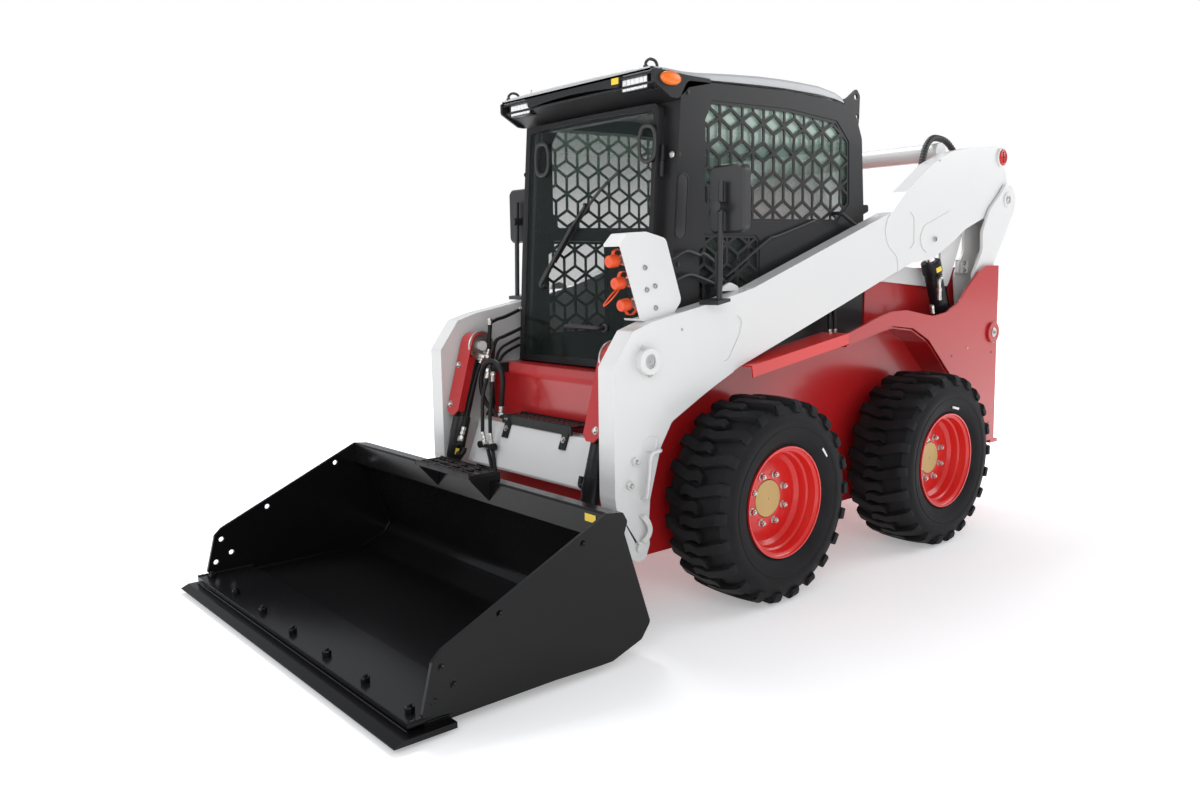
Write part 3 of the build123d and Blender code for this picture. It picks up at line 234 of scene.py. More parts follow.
LOOKS = {
    "axle_housings": BLACK, "chassis_tub": RED, "front_panel": RED, "tower_walls": RED,
    "tower_plates": RED, "side_steps": BRIGHT_RED, "engine": IRON, "engine_hood": RED,
    "rear_bumper": RED, "tailgate": RED, "fixed_hinges": BLACK, "cab_sides": CAB,
    "cab_rear": CAB, "cab_front": CAB, "cab_roof": GREY, "cab_floor": BLACK,
    "window_grilles": CAB, "cab_glass": TINTED, "visor": BLACK, "work_lamps": PLASTIC,
    "marker_lamps": ORANGE, "roof_ears": CAB, "seat_cushions": VINYL, "seat_base": PLASTIC,
    "controls": PLASTIC, "door_frame": BLACK, "door_glass": GLASS, "rear_links": WHITE,
    "control_links": WHITE, "arm_left": WHITE, "arm_right": WHITE, "arm_cross_members": WHITE,
    "front_step": BLACK, "coupler_guard": WHITE, "quick_couplers": COUPLER, "mirrors": PLASTIC,
    "lift_barrels": BLACK, "lift_rods": CHROME, "tilt_barrels": BLACK, "tilt_rods": CHROME,
    "tilt_guards": RED, "bucket_coupler": BUCKET_BLACK, "bucket_shell": BUCKET_BLACK,
    "bucket_sides": BUCKET_BLACK, "cutting_edges": BUCKET_BLACK, "bucket_step": BLACK, "tail_lamps": TAIL,
}
for name, node in NODES.items():
    look = LOOKS.get(name)
    if look is None:
        look = TYRE if name.startswith("tyre_") else BRIGHT_RED
    node.data.materials.clear()
    node.data.materials.append(look)

# Making meshes


def finish_mesh(name, bm, mat, body, bevel=0.0, segments=2, angle=40, place=None):
    """Turns a bmesh into a piece that rides on a body, with its edges softened."""
    bmesh.ops.recalc_face_normals(bm, faces=bm.faces)
    mesh = bpy.data.meshes.new(name)
    bm.to_mesh(mesh)
    bm.free()
    for poly in mesh.polygons:
        poly.use_smooth = True
    mesh.set_sharp_from_angle(angle=math.radians(angle))
    for m in (mat if isinstance(mat, (list, tuple)) else [mat]):
        mesh.materials.append(m)
    piece = bpy.data.objects.new(name, mesh)
    bpy.context.scene.collection.objects.link(piece)
    if place is not None:
        piece.matrix_world = place
    if bevel:
        mod = piece.modifiers.new("soft_edges", "BEVEL")
        mod.width = bevel
        mod.segments = segments
        mod.limit_method = "ANGLE"
        mod.angle_limit = math.radians(angle)
        mod.harden_normals = True
    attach(piece, body)
    return piece


def round_corners(points, radii, steps=5):
    """A closed outline with its corners rounded as far as its runs allow."""
    count = len(points)
    if isinstance(radii, (int, float)):
        radii = [radii] * count
    path = []
    for i, corner in enumerate(points):
        corner = Vector(corner)
        back = Vector(points[i - 1]) - corner
        ahead = Vector(points[(i + 1) % count]) - corner
        half = (math.pi - back.angle(ahead)) / 2
        setback = min(radii[i] * math.tan(half), 0.48 * back.length, 0.48 * ahead.length)
        if setback < 1e-6 or half < 0.02:
            path.append(corner)
            continue
        start = corner + back.normalized() * setback
        end = corner + ahead.normalized() * setback
        for k in range(steps + 1):
            t = k / steps
            path.append(start * (1 - t) ** 2 + corner * 2 * t * (1 - t) + end * t ** 2)
    return path


def loft(bm, rings, close_ends=True, wrap=False):
    """Faces between closed rings of as many vertices each; wrap joins the last ring to the first."""
    loops = [[bm.verts.new(v) for v in ring] for ring in rings]
    for a, b in zip(loops, loops[1:] + loops[:1] if wrap else loops[1:]):
        n = len(a)
        for i in range(n):
            bm.faces.new((a[i], a[(i + 1) % n], b[(i + 1) % n], b[i]))
    if close_ends and not wrap:
        bm.faces.new(loops[0])
        bm.faces.new(list(reversed(loops[-1])))


def side_plate(bm, points, y_low, y_high, radii=0, steps=5):
    """A side-view outline (stations, mm) with thickness, added to a bmesh."""
    path = round_corners([Vector((x, z)) for x, z in points], radii, steps)
    loft(bm, [[P(p.x, y, p.y) for p in path] for y in (y_low, y_high)])


def cuboid(bm, x0, x1, y0, y1, z0, z1):
    """A box by its limits in stations, added to a bmesh."""
    low, high = P(x0, y0, z0), P(x1, y1, z1)
    ring = [(low.x, low.y), (high.x, low.y), (high.x, high.y), (low.x, high.y)]
    loft(bm, [[Vector((x, y, z)) for x, y in ring] for z in (low.z, high.z)])


def turned(bm, profile, place, count=48, closed=False):
    """A profile of (radius, height) pairs in metres turned about the place's Z."""
    rings = []
    for r, h in profile:
        rings.append([place @ Vector((r * math.cos(2 * math.pi * i / count),
                                      r * math.sin(2 * math.pi * i / count), h)) for i in range(count)])
    loops = []
    for (r, h), ring in zip(profile, rings):
        if r < 1e-7:
            loops.append([bm.verts.new(place @ Vector((0, 0, h)))])
        else:
            loops.append([bm.verts.new(v) for v in ring])
    pairs = list(zip(loops, loops[1:]))
    if closed:
        pairs.append((loops[-1], loops[0]))
    for a, b in pairs:
        for i in range(count):
            j = (i + 1) % count
            if len(a) == 1 and len(b) == 1:
                continue
            if len(a) == 1:
                bm.faces.new((a[0], b[j], b[i]))
            elif len(b) == 1:
                bm.faces.new((a[i], a[j], b[0]))
            else:
                bm.faces.new((a[i], a[j], b[j], b[i]))


def disc(bm, radius, low, high, place, count=48):
    """A plain cylinder between two heights on a place."""
    turned(bm, [(0, low), (radius, low), (radius, high), (0, high)], place, count)


def stud(bm, radius, low, edge, crown, top, place, count=48):
    """A cylinder from low to edge that narrows to the crown's radius at its top."""
    turned(bm, [(0, low), (radius, low), (radius, edge), (crown, top), (0, top)], place, count)


def facing(point, direction, spin=0.0):
    """A place at a point whose Z runs along a direction."""
    turn = Vector(direction).to_track_quat("Z", "Y").to_matrix().to_4x4()
    return Matrix.Translation(point) @ turn @ Matrix.Rotation(spin, 4, "Z")


def hex_bolt(bm, point, direction, across=0.019, head=0.008, washer=0.0, spin=0.0, sink=0.001):
    """A hexagon head, with a washer under it if asked, standing on a point."""
    place = facing(point, direction, spin)
    base = -sink
    if washer:
        stud(bm, washer, base, 0.0022, washer * 0.94, 0.0028, place, 20)
        base = 0.0024
    r = across / math.sqrt(3)
    stud(bm, r, base, base + head * 0.85, r * 0.86, base + head, place, 6)


def bolt_rows(name, spots, mat, body, across=0.019, head=0.008, washer=0.013):
    """Many bolts as one mesh; each spot is a point and the direction it faces."""
    bm = bmesh.new()
    for i, (point, direction) in enumerate(spots):
        hex_bolt(bm, point, direction, across, head, washer, spin=0.37 * i)
    return finish_mesh(name, bm, mat, body, angle=30)


def round_ring(point, side, other, radius, count):
    """A ring of points about one point, in the plane of two directions."""
    angles = (2 * math.pi * k / count for k in range(count))
    return [point + (side * math.cos(a) + other * math.sin(a)) * radius for a in angles]


def tube_mesh(bm, path, radius, count=12, caps=True):
    """A round tube along a list of points, its frame carried without twist."""
    tangents = []
    for i in range(len(path)):
        a = path[max(0, i - 1)]
        b = path[min(len(path) - 1, i + 1)]
        tangents.append((b - a).normalized())
    side = tangents[0].orthogonal().normalized()
    rings = []
    for p, t in zip(path, tangents):
        side = (side - t * side.dot(t)).normalized()
        other = t.cross(side)
        rings.append(round_ring(p, side, other, radius, count))
    loft(bm, rings, close_ends=caps)


def smooth_path(points, steps=8):
    """Points along a Catmull-Rom curve through the given ones."""
    pts = [points[0] * 2 - points[1]] + list(points) + [points[-1] * 2 - points[-2]]
    path = []
    for i in range(1, len(pts) - 2):
        p0, p1, p2, p3 = pts[i - 1:i + 3]
        for k in range(steps):
            t = k / steps
            path.append(0.5 * ((2 * p1) + (p2 - p0) * t + (2 * p0 - 5 * p1 + 4 * p2 - p3) * t * t
                               + (3 * p1 - p0 - 3 * p2 + p3) * t ** 3))
    path.append(pts[-2])
    return path

# The camera at the photograph's place

def camera_matrix(place, yaw, pitch, roll):
    yaw, pitch, roll = (math.radians(v) for v in (yaw, pitch, roll))
    ahead = Vector((math.cos(yaw) * math.cos(pitch), math.sin(yaw) * math.cos(pitch), math.sin(pitch)))
    right = ahead.cross(Vector((0, 0, 1))).normalized()
    up = right.cross(ahead)
    right, up = (right * math.cos(roll) + up * math.sin(roll), up * math.cos(roll) - right * math.sin(roll))
    matrix = Matrix((right, up, -ahead)).transposed().to_4x4()
    matrix.translation = place
    return matrix


cam_data = bpy.data.cameras.new("camera")
cam_data.sensor_fit = "HORIZONTAL"
cam_data.sensor_width = 36
cam_data.lens = 958.66 / 1200 * 36
cam_data.clip_end = 100
camera = bpy.data.objects.new("camera", cam_data)
camera.matrix_world = camera_matrix(P(3528.3, 3189.8, 1319.9), 229.568, -8.012, -0.729)
bpy.context.scene.collection.objects.link(camera)
bpy.context.scene.camera = camera


# Hydraulic hoses: each runs from one fitting to another on one smooth curve

def run_length(piece):
    """The length of a curve's own line, before it has any thickness."""
    mesh = bpy.data.meshes.new_from_object(piece)
    ends = ([mesh.vertices[i].co for i in edge.vertices] for edge in mesh.edges)
    length = sum((a - b).length for a, b in ends)
    bpy.data.meshes.remove(mesh)
    return length


def hose(name, points, diameter, body):
    """A hose along a route of points in stations (mm); the length of its line is worked out but not kept."""
    data = bpy.data.curves.new(name, "CURVE")
    data.dimensions = "3D"
    data.resolution_u = 10
    spline = data.splines.new("NURBS")
    spline.points.add(len(points) - 1)
    for target, point in zip(spline.points, points):
        target.co = (*P(*point), 1)
    spline.order_u = 3
    spline.use_endpoint_u = True
    piece = bpy.data.objects.new(name, data)
    bpy.context.scene.collection.objects.link(piece)
    length = run_length(piece)
    data.bevel_depth = diameter / 2
    data.bevel_resolution = 4
    data.materials.append(HOSE)
    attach(piece, body)
    return piece


hose("tilt_hose_long", [(1083, -440, 1084), (1087, -440, 1024), (1096, -440, 955)], 0.019, "arms")
hose("tilt_feed", [(885, -470, 1048), (988, -470, 1012), (1031, -470, 1003), (1050, -470, 963),
                   (1060, -470, 850),
                   (1066, -468, 740), (1064, -466, 670)], 0.017, "arms")
hose("arm_feed_upper", [(880, -500, 1130), (960, -488, 1102), (1040, -468, 1092), (1080, -446, 1078)], 0.017,
     "arms")
hose("arm_feed_middle", [(880, -500, 1000), (950, -492, 978), (1010, -480, 955), (1034, -474, 900),
                         (1044, -470, 800), (1046, -468, 700)], 0.014, "arms")
hose("arm_feed_lower", [(880, -500, 965), (950, -494, 945), (1000, -486, 915), (1022, -480, 860),
                        (1030, -476, 760), (1030, -472, 680)], 0.014, "arms")
hose("tilt_hose", [(1145, -441, 896), (1160, -441, 868), (1190, -441, 780), (1215, -442, 706),
                   (1237, -442, 621)],
     0.019, "tilt_barrels")
hose("loop_hose", [(1150, -270, 722), (1150, -262, 770), (1150, -252, 836), (1150, -262, 896),
                   (1150, -320, 925),
                   (1150, -394, 900), (1150, -430, 828), (1150, -422, 762), (1150, -372, 708),
                   (1152, -290, 680),
                   (1156, -226, 676)], 0.021, "arms")
hose("down_hose_outer", [(1176, -340, 842), (1196, -334, 800), (1214, -324, 746), (1220, -317, 680),
                         (1222, -317, 610)],
     0.017, "arms")
hose("down_hose_inner", [(1172, -300, 830), (1194, -280, 780), (1212, -267, 710), (1220, -260, 660),
                         (1222, -257, 612)],
     0.017, "arms")
hose("bucket_hose_outer", [(1222, -280, 540), (1226, -262, 510), (1234, -236, 470), (1240, -220, 420),
                           (1236, -214, 370)],
     0.016, "arms")
hose("bucket_hose_inner", [(1222, -240, 540), (1228, -226, 505), (1238, -204, 465), (1244, -190, 420),
                           (1240, -186, 370)],
     0.016, "arms")
for side, end in SIDES:
    hose("lift_hose_" + end, [(-815, side * 640, 1075), (-830, side * 638, 1030), (-850, side * 634, 975),
                              (-880, side * 628, 915)], 0.0175, "lift_barrels")
    hose("link_hose_a_" + end, [(-1150, side * 524, 1470), (-1122, side * 524, 1395),
                                (-1106, side * 524, 1330),
                                (-1094, side * 524, 1262), (-1100, side * 524, 1180),
                                (-1140, side * 524, 1090)],
         0.017, "rear_links")
    hose("link_hose_b_" + end, [(-1172, side * 524, 1470), (-1146, side * 524, 1395),
                                (-1130, side * 524, 1330),
                                (-1118, side * 524, 1262), (-1124, side * 524, 1180),
                                (-1165, side * 524, 1095)],
         0.017, "rear_links")
    for x, tag in ((-90, "front"), (-130, "rear")):
        hose("step_hose_" + tag + "_" + end,
             [(x, side * 556, 1030), (x - 2, side * 552, 1066), (x - 8, side * 544, 1096),
                                             (x - 14, side * 532, 1142)], 0.017, "chassis")
hose("loop_over_tube", [(-846, 530, 1795), (-868, 526, 1850), (-905, 518, 1905), (-968, 510, 1948),
                        (-1040, 510, 1950),
                        (-1110, 518, 1935), (-1150, 528, 1890)], 0.024, "arms")


def spiral_guard(name, source, radius, turns_pitch, body):
    """A flat spiral wrap round a hose, following the hose's own line."""
    bevel = source.data.bevel_depth
    source.data.bevel_depth = 0
    mesh = bpy.data.meshes.new_from_object(source)
    source.data.bevel_depth = bevel
    line = [v.co.copy() for v in mesh.vertices]
    bpy.data.meshes.remove(mesh)
    run = [0.0]
    for a, b in zip(line, line[1:]):
        run.append(run[-1] + (b - a).length)
    total = run[-1]
    bm = bmesh.new()
    side = (line[1] - line[0]).orthogonal().normalized()
    count = int(total / 0.0025)
    rings = []
    k = 0
    for i in range(count + 1):
        s = total * i / count
        while k < len(run) - 2 and run[k + 1] < s:
            k += 1
        t = (s - run[k]) / max(1e-9, run[k + 1] - run[k])
        p = line[k].lerp(line[k + 1], t)
        axis = (line[k + 1] - line[k]).normalized()
        side = (side - axis * side.dot(axis)).normalized()
        other = axis.cross(side)
        ripple = radius * (1.0 + 0.085 * math.sin(2 * math.pi * s / turns_pitch))
        rings.append(round_ring(p, side, other, ripple, 16))
    loft(bm, rings)
    return finish_mesh(name, bm, PLASTIC, body, angle=60)


spiral_guard("loop_wrap", bpy.data.objects["loop_over_tube"], 0.0155, 0.016, "arms")


def ferrules(name, spots, body):
    """Crimped hose ends with their nuts: each from a hose's end back along the run, by radius."""
    bm = bmesh.new()
    for start, end, radius in spots:
        a, b = P(*start), P(*end)
        long_ = (b - a).length
        r = radius
        turned(bm, [(0, 0), (r * 1.08, 0), (r * 1.18, long_ * 0.03), (r * 1.18, long_ * 0.22),
                    (r * 1.05, long_ * 0.25),
                    (r * 1.05, long_ * 0.30), (r * 1.18, long_ * 0.33), (r * 1.18, long_ * 0.52),
                    (r * 0.82, long_ * 0.56), (r * 0.82, long_ * 0.66), (0, long_ * 0.66)], facing(a, b - a),
               20)
        turned(bm, [(0, long_ * 0.64), (r * 1.34, long_ * 0.64), (r * 1.40, long_ * 0.67),
                    (r * 1.40, long_ * 0.96),
                    (r * 1.30, long_), (0, long_)], facing(a, b - a), 6)
    return finish_mesh(name, bm, ZINC, body, angle=28)


ferrules("front_ferrules", [
    ((1094, -440, 962), (1109, -440, 920), 0.0095), ((1150, -270, 724), (1151, -272, 676), 0.0105),
    ((1176, -340, 842), (1160, -346, 884), 0.0085), ((1172, -300, 830), (1158, -316, 870), 0.0085),
    ((1222, -317, 612), (1222, -296, 556), 0.0085), ((1222, -257, 614), (1222, -247, 560), 0.0085),
    ((880, -500, 1130), (840, -504, 1143), 0.0085), ((1084, -440, 1071), (1080, -442, 1100), 0.0095),
    ((1156, -226, 676), (1158, -200, 674), 0.0105)], "arms")
ferrules("tilt_ferrules", [((1145, -441, 900), (1124, -441, 938), 0.0095),
                           ((1237, -442, 621), (1262, -442, 558), 0.0095)],
         "tilt_barrels")
for side, end in SIDES:
    ferrules("lift_ferrules_" + end, [((-815, side * 640, 1075), (-800, side * 641, 1118), 0.0088)],
             "lift_barrels")
    ferrules("step_ferrules_" + end, [((-90, side * 556, 1032), (-89, side * 558, 990), 0.0085),
                                      ((-130, side * 556, 1032), (-129, side * 558, 990), 0.0085)], "chassis")

# The steel lines and manifold block that the front hoses leave from
bm = bmesh.new()
cuboid(bm, 1085, 1140, -352, -296, 868, 912)
cuboid(bm, 1212, 1232, -330, -236, 548, 562)
for y in (-330, -236):
    disc(bm, 0.016, 0, 0.024, facing(P(1210, y, 555), (1, 0, 0)), 16)
finish_mesh("hose_clamps", bm, BLACK, "arms", bevel=0.002)
bm = bmesh.new()
stud(bm, 0.014, 0, 0.02, 0.011, 0.024, facing(P(1262, -442, 556), (0.5, 0.5, -0.7)), 6)
finish_mesh("tilt_port", bm, BLACK, "tilt_barrels", bevel=0.002)
for side, end in SIDES:
    bm = bmesh.new()
    place = facing(P(-815, side * 640, 1070), Vector((-0.3, 0, -1)))
    turned(bm, [(0.0088, 0), (0.0102, 0), (0.0102, 0.008), (0.0088, 0.008)], place, 20, closed=True)
    finish_mesh("hose_ring_red_" + end, bm, BRIGHT_RED, "lift_barrels")
    bm = bmesh.new()
    place = facing(P(-818, side * 640, 1060), Vector((-0.3, 0, -1)))
    turned(bm, [(0.0088, 0), (0.0102, 0), (0.0102, 0.005), (0.0088, 0.005)], place, 20, closed=True)
    finish_mesh("hose_ring_blue_" + end, bm, BLUE, "lift_barrels")


# Wheels

TYRE_R, TYRE_HALF, BEAD_R = 0.412, 0.153, 0.209
LUGS = 22


def tread_radius(v):
    """The lugs' outer radius at a share of the half width from the middle."""
    return TYRE_R - 0.010 * abs(v) ** 2.2


def floor_radius(v):
    """The radius between the lugs."""
    return TYRE_R - 0.024 - 0.012 * abs(v) ** 2.5


def tyre_mesh():
    """A tyre about its own Z: carcass with stepped side walls and chevron lugs."""
    bm = bmesh.new()
    half = TYRE_HALF
    side = [(BEAD_R + 0.0006, half * 0.72), (BEAD_R + 0.008, half * 0.80), (BEAD_R + 0.016, half * 0.845),
            (BEAD_R + 0.019, half * 0.835), (BEAD_R + 0.024, half * 0.865), (BEAD_R + 0.045, half * 0.945),
            (BEAD_R + 0.065, half * 0.985), (BEAD_R + 0.083, half * 0.998), (BEAD_R + 0.086, half * 1.0),
            (BEAD_R + 0.090, half * 0.985), (BEAD_R + 0.094, half * 1.0), (BEAD_R + 0.112, half * 0.997),
            (BEAD_R + 0.128, half * 0.985), (BEAD_R + 0.132, half * 0.966), (BEAD_R + 0.148, half * 0.94),
            (BEAD_R + 0.160, half * 0.90), (floor_radius(0.84) - 0.001, half * 0.845)]
    crown = [(floor_radius(v), half * v) for v in (0.7, 0.5, 0.25, 0.0)]
    upper = side + crown
    lower = [(r, -h) for r, h in reversed(upper[:-1])]
    inner = [(BEAD_R + 0.0006, -half * 0.6), (BEAD_R + 0.03, -half * 0.6), (BEAD_R + 0.1, -half * 0.85),
             (TYRE_R - 0.06, -half * 0.8), (TYRE_R - 0.045, 0), (TYRE_R - 0.06, half * 0.8),
             (BEAD_R + 0.1, half * 0.85), (BEAD_R + 0.03, half * 0.6), (BEAD_R + 0.0006, half * 0.6)]
    turned(bm, upper + lower + inner, Matrix.Identity(4), 144, closed=True)
    pitch = 2 * math.pi / LUGS
    # Each lug's middle line across the tread: share of half width, turn in pitches, half thickness in pitches
    line = [(-0.30, 0.29, 0.150), (-0.16, 0.20, 0.165), (-0.12, 0.195, 0.165), (0.14, 0.262, 0.165),
            (0.19, 0.262, 0.165), (0.50, 0.135, 0.175), (0.80, 0.01, 0.19), (0.88, -0.01, 0.195)]
    for row in (1, -1):
        for n in range(LUGS):
            middle = pitch * (n + (0.5 if row < 0 else 0.0))
            rings = []
            for v, turn, thick in line:
                top, base = tread_radius(v), floor_radius(v) - 0.004
                h = half * v * row
                if v > 0.85:
                    top -= 0.003
                ring = []
                for r, wide in ((base, 1.22), (top - 0.0025, 1.0), (top, 0.93)):
                    ring.append((r, middle + pitch * (turn - thick * wide), h))
                for r, wide in ((top, 0.93), (top - 0.0025, 1.0), (base, 1.22)):
                    ring.append((r, middle + pitch * (turn + thick * wide), h))
                rings.append(ring)
            # The lug runs on over the shoulder and down the side wall, thinning out
            for drop, reach, thick in ((0.022, 0.955, 0.20), (0.040, 0.992, 0.20), (0.052, 0.985, 0.19)):
                top = TYRE_R - drop
                ring = []
                depth = 0.030 if drop < 0.03 else 0.018
                for r, wide, back in ((top, 1.15, depth), (top, 1.0, 0.002), (top, 0.92, 0.0)):
                    ring.append((r, middle - pitch * thick * wide, (half * reach - back) * row))
                for r, wide, back in ((top, 0.92, 0.0), (top, 1.0, 0.002), (top, 1.15, depth)):
                    ring.append((r, middle + pitch * thick * wide, (half * reach - back) * row))
                rings.append(ring)
            loft(bm, [[Vector((r * math.cos(a), r * math.sin(a), h)) for r, a, h in ring] for ring in rings])
    return bm


RIM_OUTER = [(0.2225, 0.137), (0.2225, 0.129), (0.2195, 0.126), (0.2095, 0.122), (0.2075, 0.116),
             (0.2065, 0.088), (0.1985, 0.083), (0.1965, 0.078), (0.1955, 0.050), (0.1790, 0.037),
             (0.1770, 0.030), (0.1770, -0.075), (0.2060, -0.088), (0.2090, -0.121), (0.2225, -0.128),
             (0.2225, -0.137)]


def rim_mesh(bm, place):
    """The stepped rim and its disc, about the place's Z."""
    shell = [(r - 0.0065, h) for r, h in reversed(RIM_OUTER)]
    turned(bm, [(0.2225, 0.137), *RIM_OUTER[1:], *shell], place, 96, closed=True)
    disc = [(0.176, 0.034), (0.150, 0.036), (0.138, 0.042), (0.078, 0.042), (0.0765, 0.040), (0.0765, 0.028),
            (0.138, 0.028), (0.150, 0.024), (0.176, 0.022)]
    turned(bm, disc, place, 96, closed=True)


def wheel_set(corner, x, side):
    """A tyre, its rim, hub and fastenings at one corner, each its own piece."""
    body = "wheel_" + corner
    place = Matrix.Translation(P(x, WHEEL_Y, AXLE_Z)) @ Matrix.Rotation(-math.pi / 2, 4, "X")
    if side < 0:
        place = Matrix.Diagonal((1, -1, 1, 1)) @ place
    bm = tyre_mesh()
    bmesh.ops.transform(bm, matrix=place, verts=bm.verts)
    tyre = finish_mesh("tread_" + corner, bm, TYRE, body, angle=32)
    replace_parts(tyre, "tyre_" + corner)
    bm = bmesh.new()
    rim_mesh(bm, place)
    rim = finish_mesh("rim_" + corner, bm, BRIGHT_RED, body, angle=28)
    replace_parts(rim, "wheel_" + corner)
    bm = bmesh.new()
    turned(bm, [(0, 0.0425), (0.006, 0.0425), (0.0065, 0.0445), (0.0735, 0.0445), (0.075, 0.043),
                (0.075, 0.01), (0, 0.01)], place, 64)
    finish_mesh("hub_cap_" + corner, bm, GOLD, body, angle=30)
    bm = bmesh.new()
    turned(bm, [(0, 0.027), (0.123, 0.027), (0.123, 0.004), (0.05, 0.004), (0.05, -0.038), (0, -0.038)],
           place, 48)
    finish_mesh("hub_flange_" + corner, bm, BLACK, body, angle=30)
    bm = bmesh.new()
    for i in range(8):
        a = 2 * math.pi * (i + 0.5) / 8
        spot = place @ Matrix.Translation((0.1015 * math.cos(a), 0.1015 * math.sin(a), 0.042))
        stud(bm, 0.0155, -0.001, 0.002, 0.012, 0.004, spot, 24)
        stud(bm, 0.0128, 0.003, 0.013, 0.0112, 0.0155, spot, 6)
        stud(bm, 0.0068, 0.013, 0.021, 0.0058, 0.022, spot, 16)
    finish_mesh("wheel_nuts_" + corner, bm, ZINC, body, angle=30)


for end, x in (("front", AXLE_X), ("rear", -AXLE_X)):
    for side, name in SIDES:
        wheel_set(f"{end}_{name}", x, side)

# The cab: visor, lamps, door and fittings

def fascia(bm, points, x0, x1, radii=0):
    """A front-view outline (stations, mm) with thickness along X."""
    path = round_corners([Vector(p) for p in points], radii)
    loft(bm, [[P(x, p.x, p.y) for p in path] for x in (x0, x1)])


def visor():
    """The folded hood over the door, its cheeks and the boxes round its lamps."""
    bm = bmesh.new()
    side_plate(bm, [(690, 2030), (690, 2043), (760, 2047), (949, 2051), (949, 2043), (760, 2037)], -490, 490,
               0)
    fascia(bm, [(-490, 2067), (490, 2067), (490, 2056), (322, 2056), (304, 2044), (296, 2016), (200, 2023),
                (100, 2028), (0, 2030), (-100, 2028), (-200, 2023), (-296, 2016), (-304, 2044), (-322, 2056),
                (-490, 2056)], 938, 951, [6, 6, 4, 10, 10, 8, 0, 0, 0, 0, 0, 8, 10, 10, 4])
    side_plate(bm, [(812, 1957), (936, 2010), (936, 2019), (808, 1966)], -488, 488, 0)
    for side in (1, -1):
        cheek = [(955, 2058), (938, 2060), (768, 2053), (640, 2053), (640, 2034), (764, 2006), (800, 1974),
                 (824, 1960), (862, 1962), (955, 2012)]
        side_plate(bm, cheek, side * 487, side * CAB_HALF, [8, 10, 60, 10, 0, 30, 30, 20, 16, 16])
        low, high = sorted((side * 300, side * 488))
        cuboid(bm, 896, 902, low, high, 1992, 2066)
    return finish_mesh("visor_shell", bm, CAB, "chassis", bevel=0.0015, segments=2, angle=35)


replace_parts(visor(), "visor")


def roof_skin():
    """The pale grey sheet over the roof and the visor, crowned and rolled over at its edges."""
    bm = bmesh.new()
    stations = [(953, 2068, 2062), (946, 2073, 2054), (918, 2075, 2050), (865, 2075, 2049), (775, 2073, 2047),
                (700, 2076, 2048), (620, 2083, 2052), (500, 2093, 2058), (321, 2105, 2066), (180, 2110, 2070),
                (55, 2111, 2071), (-86, 2109, 2070), (-197, 2095, 2062), (-245, 2080, 2055),
                (-268, 2062, 2050)]
    rings = []
    for x, top, low in stations:
        ring = [P(x, 484, low), P(x, 484, top - 14), P(x, 480, top - 6), P(x, 472, top - 2), P(x, 455, top)]
        ring += [P(x, y, top + 5 * (1 - (y / 455) ** 2)) for y in (300, 150, 0, -150, -300)]
        ring += [P(x, -455, top), P(x, -472, top - 2), P(x, -480, top - 6), P(x, -484, top - 14),
                 P(x, -484, low)]
        rings.append(ring)
    loft(bm, rings)
    return finish_mesh("roof_skin", bm, GREY, "chassis", angle=50)


roof_skin()


def lamp_pair():
    """Two rows of six cells behind a bezel, on each side of the visor."""
    box, cells = bmesh.new(), bmesh.new()
    for side in (1, -1):
        y = side * 375
        cuboid(box, 903, 932, y - 74, y + 74, 1996, 2044)
        for low, high, z0, z1 in ((y - 76, y + 76, 2042, 2046), (y - 76, y + 76, 1994, 1998),
                                  (y - 76, y - 71, 1994, 2046), (y + 71, y + 76, 1994, 2046)):
            cuboid(box, 900, 937, low, high, z0, z1)
        for row in (0, 1):
            for column in range(6):
                centre = P(931.5, y - 60 + 24 * column, 2009 + 22 * row)
                place = facing(centre, (1, 0, 0), math.pi / 4)
                turned(cells, [(0.0150, 0), (0.0150, 0.0022), (0.0115, 0.0032), (0.0045, 0.0012),
                               (0, 0.0012)],
                       place, 4)
    housing = finish_mesh("lamp_boxes", box, PLASTIC, "chassis", bevel=0.001)
    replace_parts(housing, "work_lamps")
    finish_mesh("lamp_cells", cells, LENS, "chassis", angle=20)


lamp_pair()


def marker_domes():
    """The oval orange lenses on the visor's cheeks, each on a dark gasket."""
    lens, seat = bmesh.new(), bmesh.new()
    for side in (1, -1):
        place = facing(P(868, side * CAB_HALF, 2030), (0, side, 0))
        oval = place @ Matrix.Diagonal((0.054, 0.026, 0.019, 1))
        turned(lens, [(1.0, 0.0), (1.0, 0.25), (0.97, 0.5), (0.86, 0.74), (0.62, 0.92), (0.3, 0.99),
                      (0, 1.0)],
               oval, 48)
        stud(seat, 1.09, -0.1, 0.12, 1.03, 0.2, oval, 48)
    dome = finish_mesh("marker_domes", lens, ORANGE, "chassis", angle=60)
    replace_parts(dome, "marker_lamps")
    finish_mesh("marker_gaskets", seat, PLASTIC, "chassis", angle=40)


marker_domes()

bm = bmesh.new()
for side in (1, -1):
    y = side * 448
    hoop = smooth_path([P(944, y, 2070), P(943, y, 2086), P(930, y, 2099), P(914, y, 2102), P(897, y, 2099),
                        P(886, y, 2088), P(885, y, 2074)], 5)
    tube_mesh(bm, hoop, 0.0058, 10)
    for x in (944, 885):
        stud(bm, 0.010, 0, 0.004, 0.007, 0.006, facing(P(x, y, 2072), (0, 0, 1)), 12)
finish_mesh("visor_hoops", bm, PLASTIC, "chassis")

bm = bmesh.new()
turned(bm, [(0, 0), (0.008, 0), (0.008, 0.004), (0.0035, 0.006), (0.0035, 0.026), (0.0025, 0.028),
            (0, 0.028)],
       facing(P(900, -335, 2075), (0, 0, 1)), 16)
finish_mesh("visor_pin", bm, ZINC, "chassis")


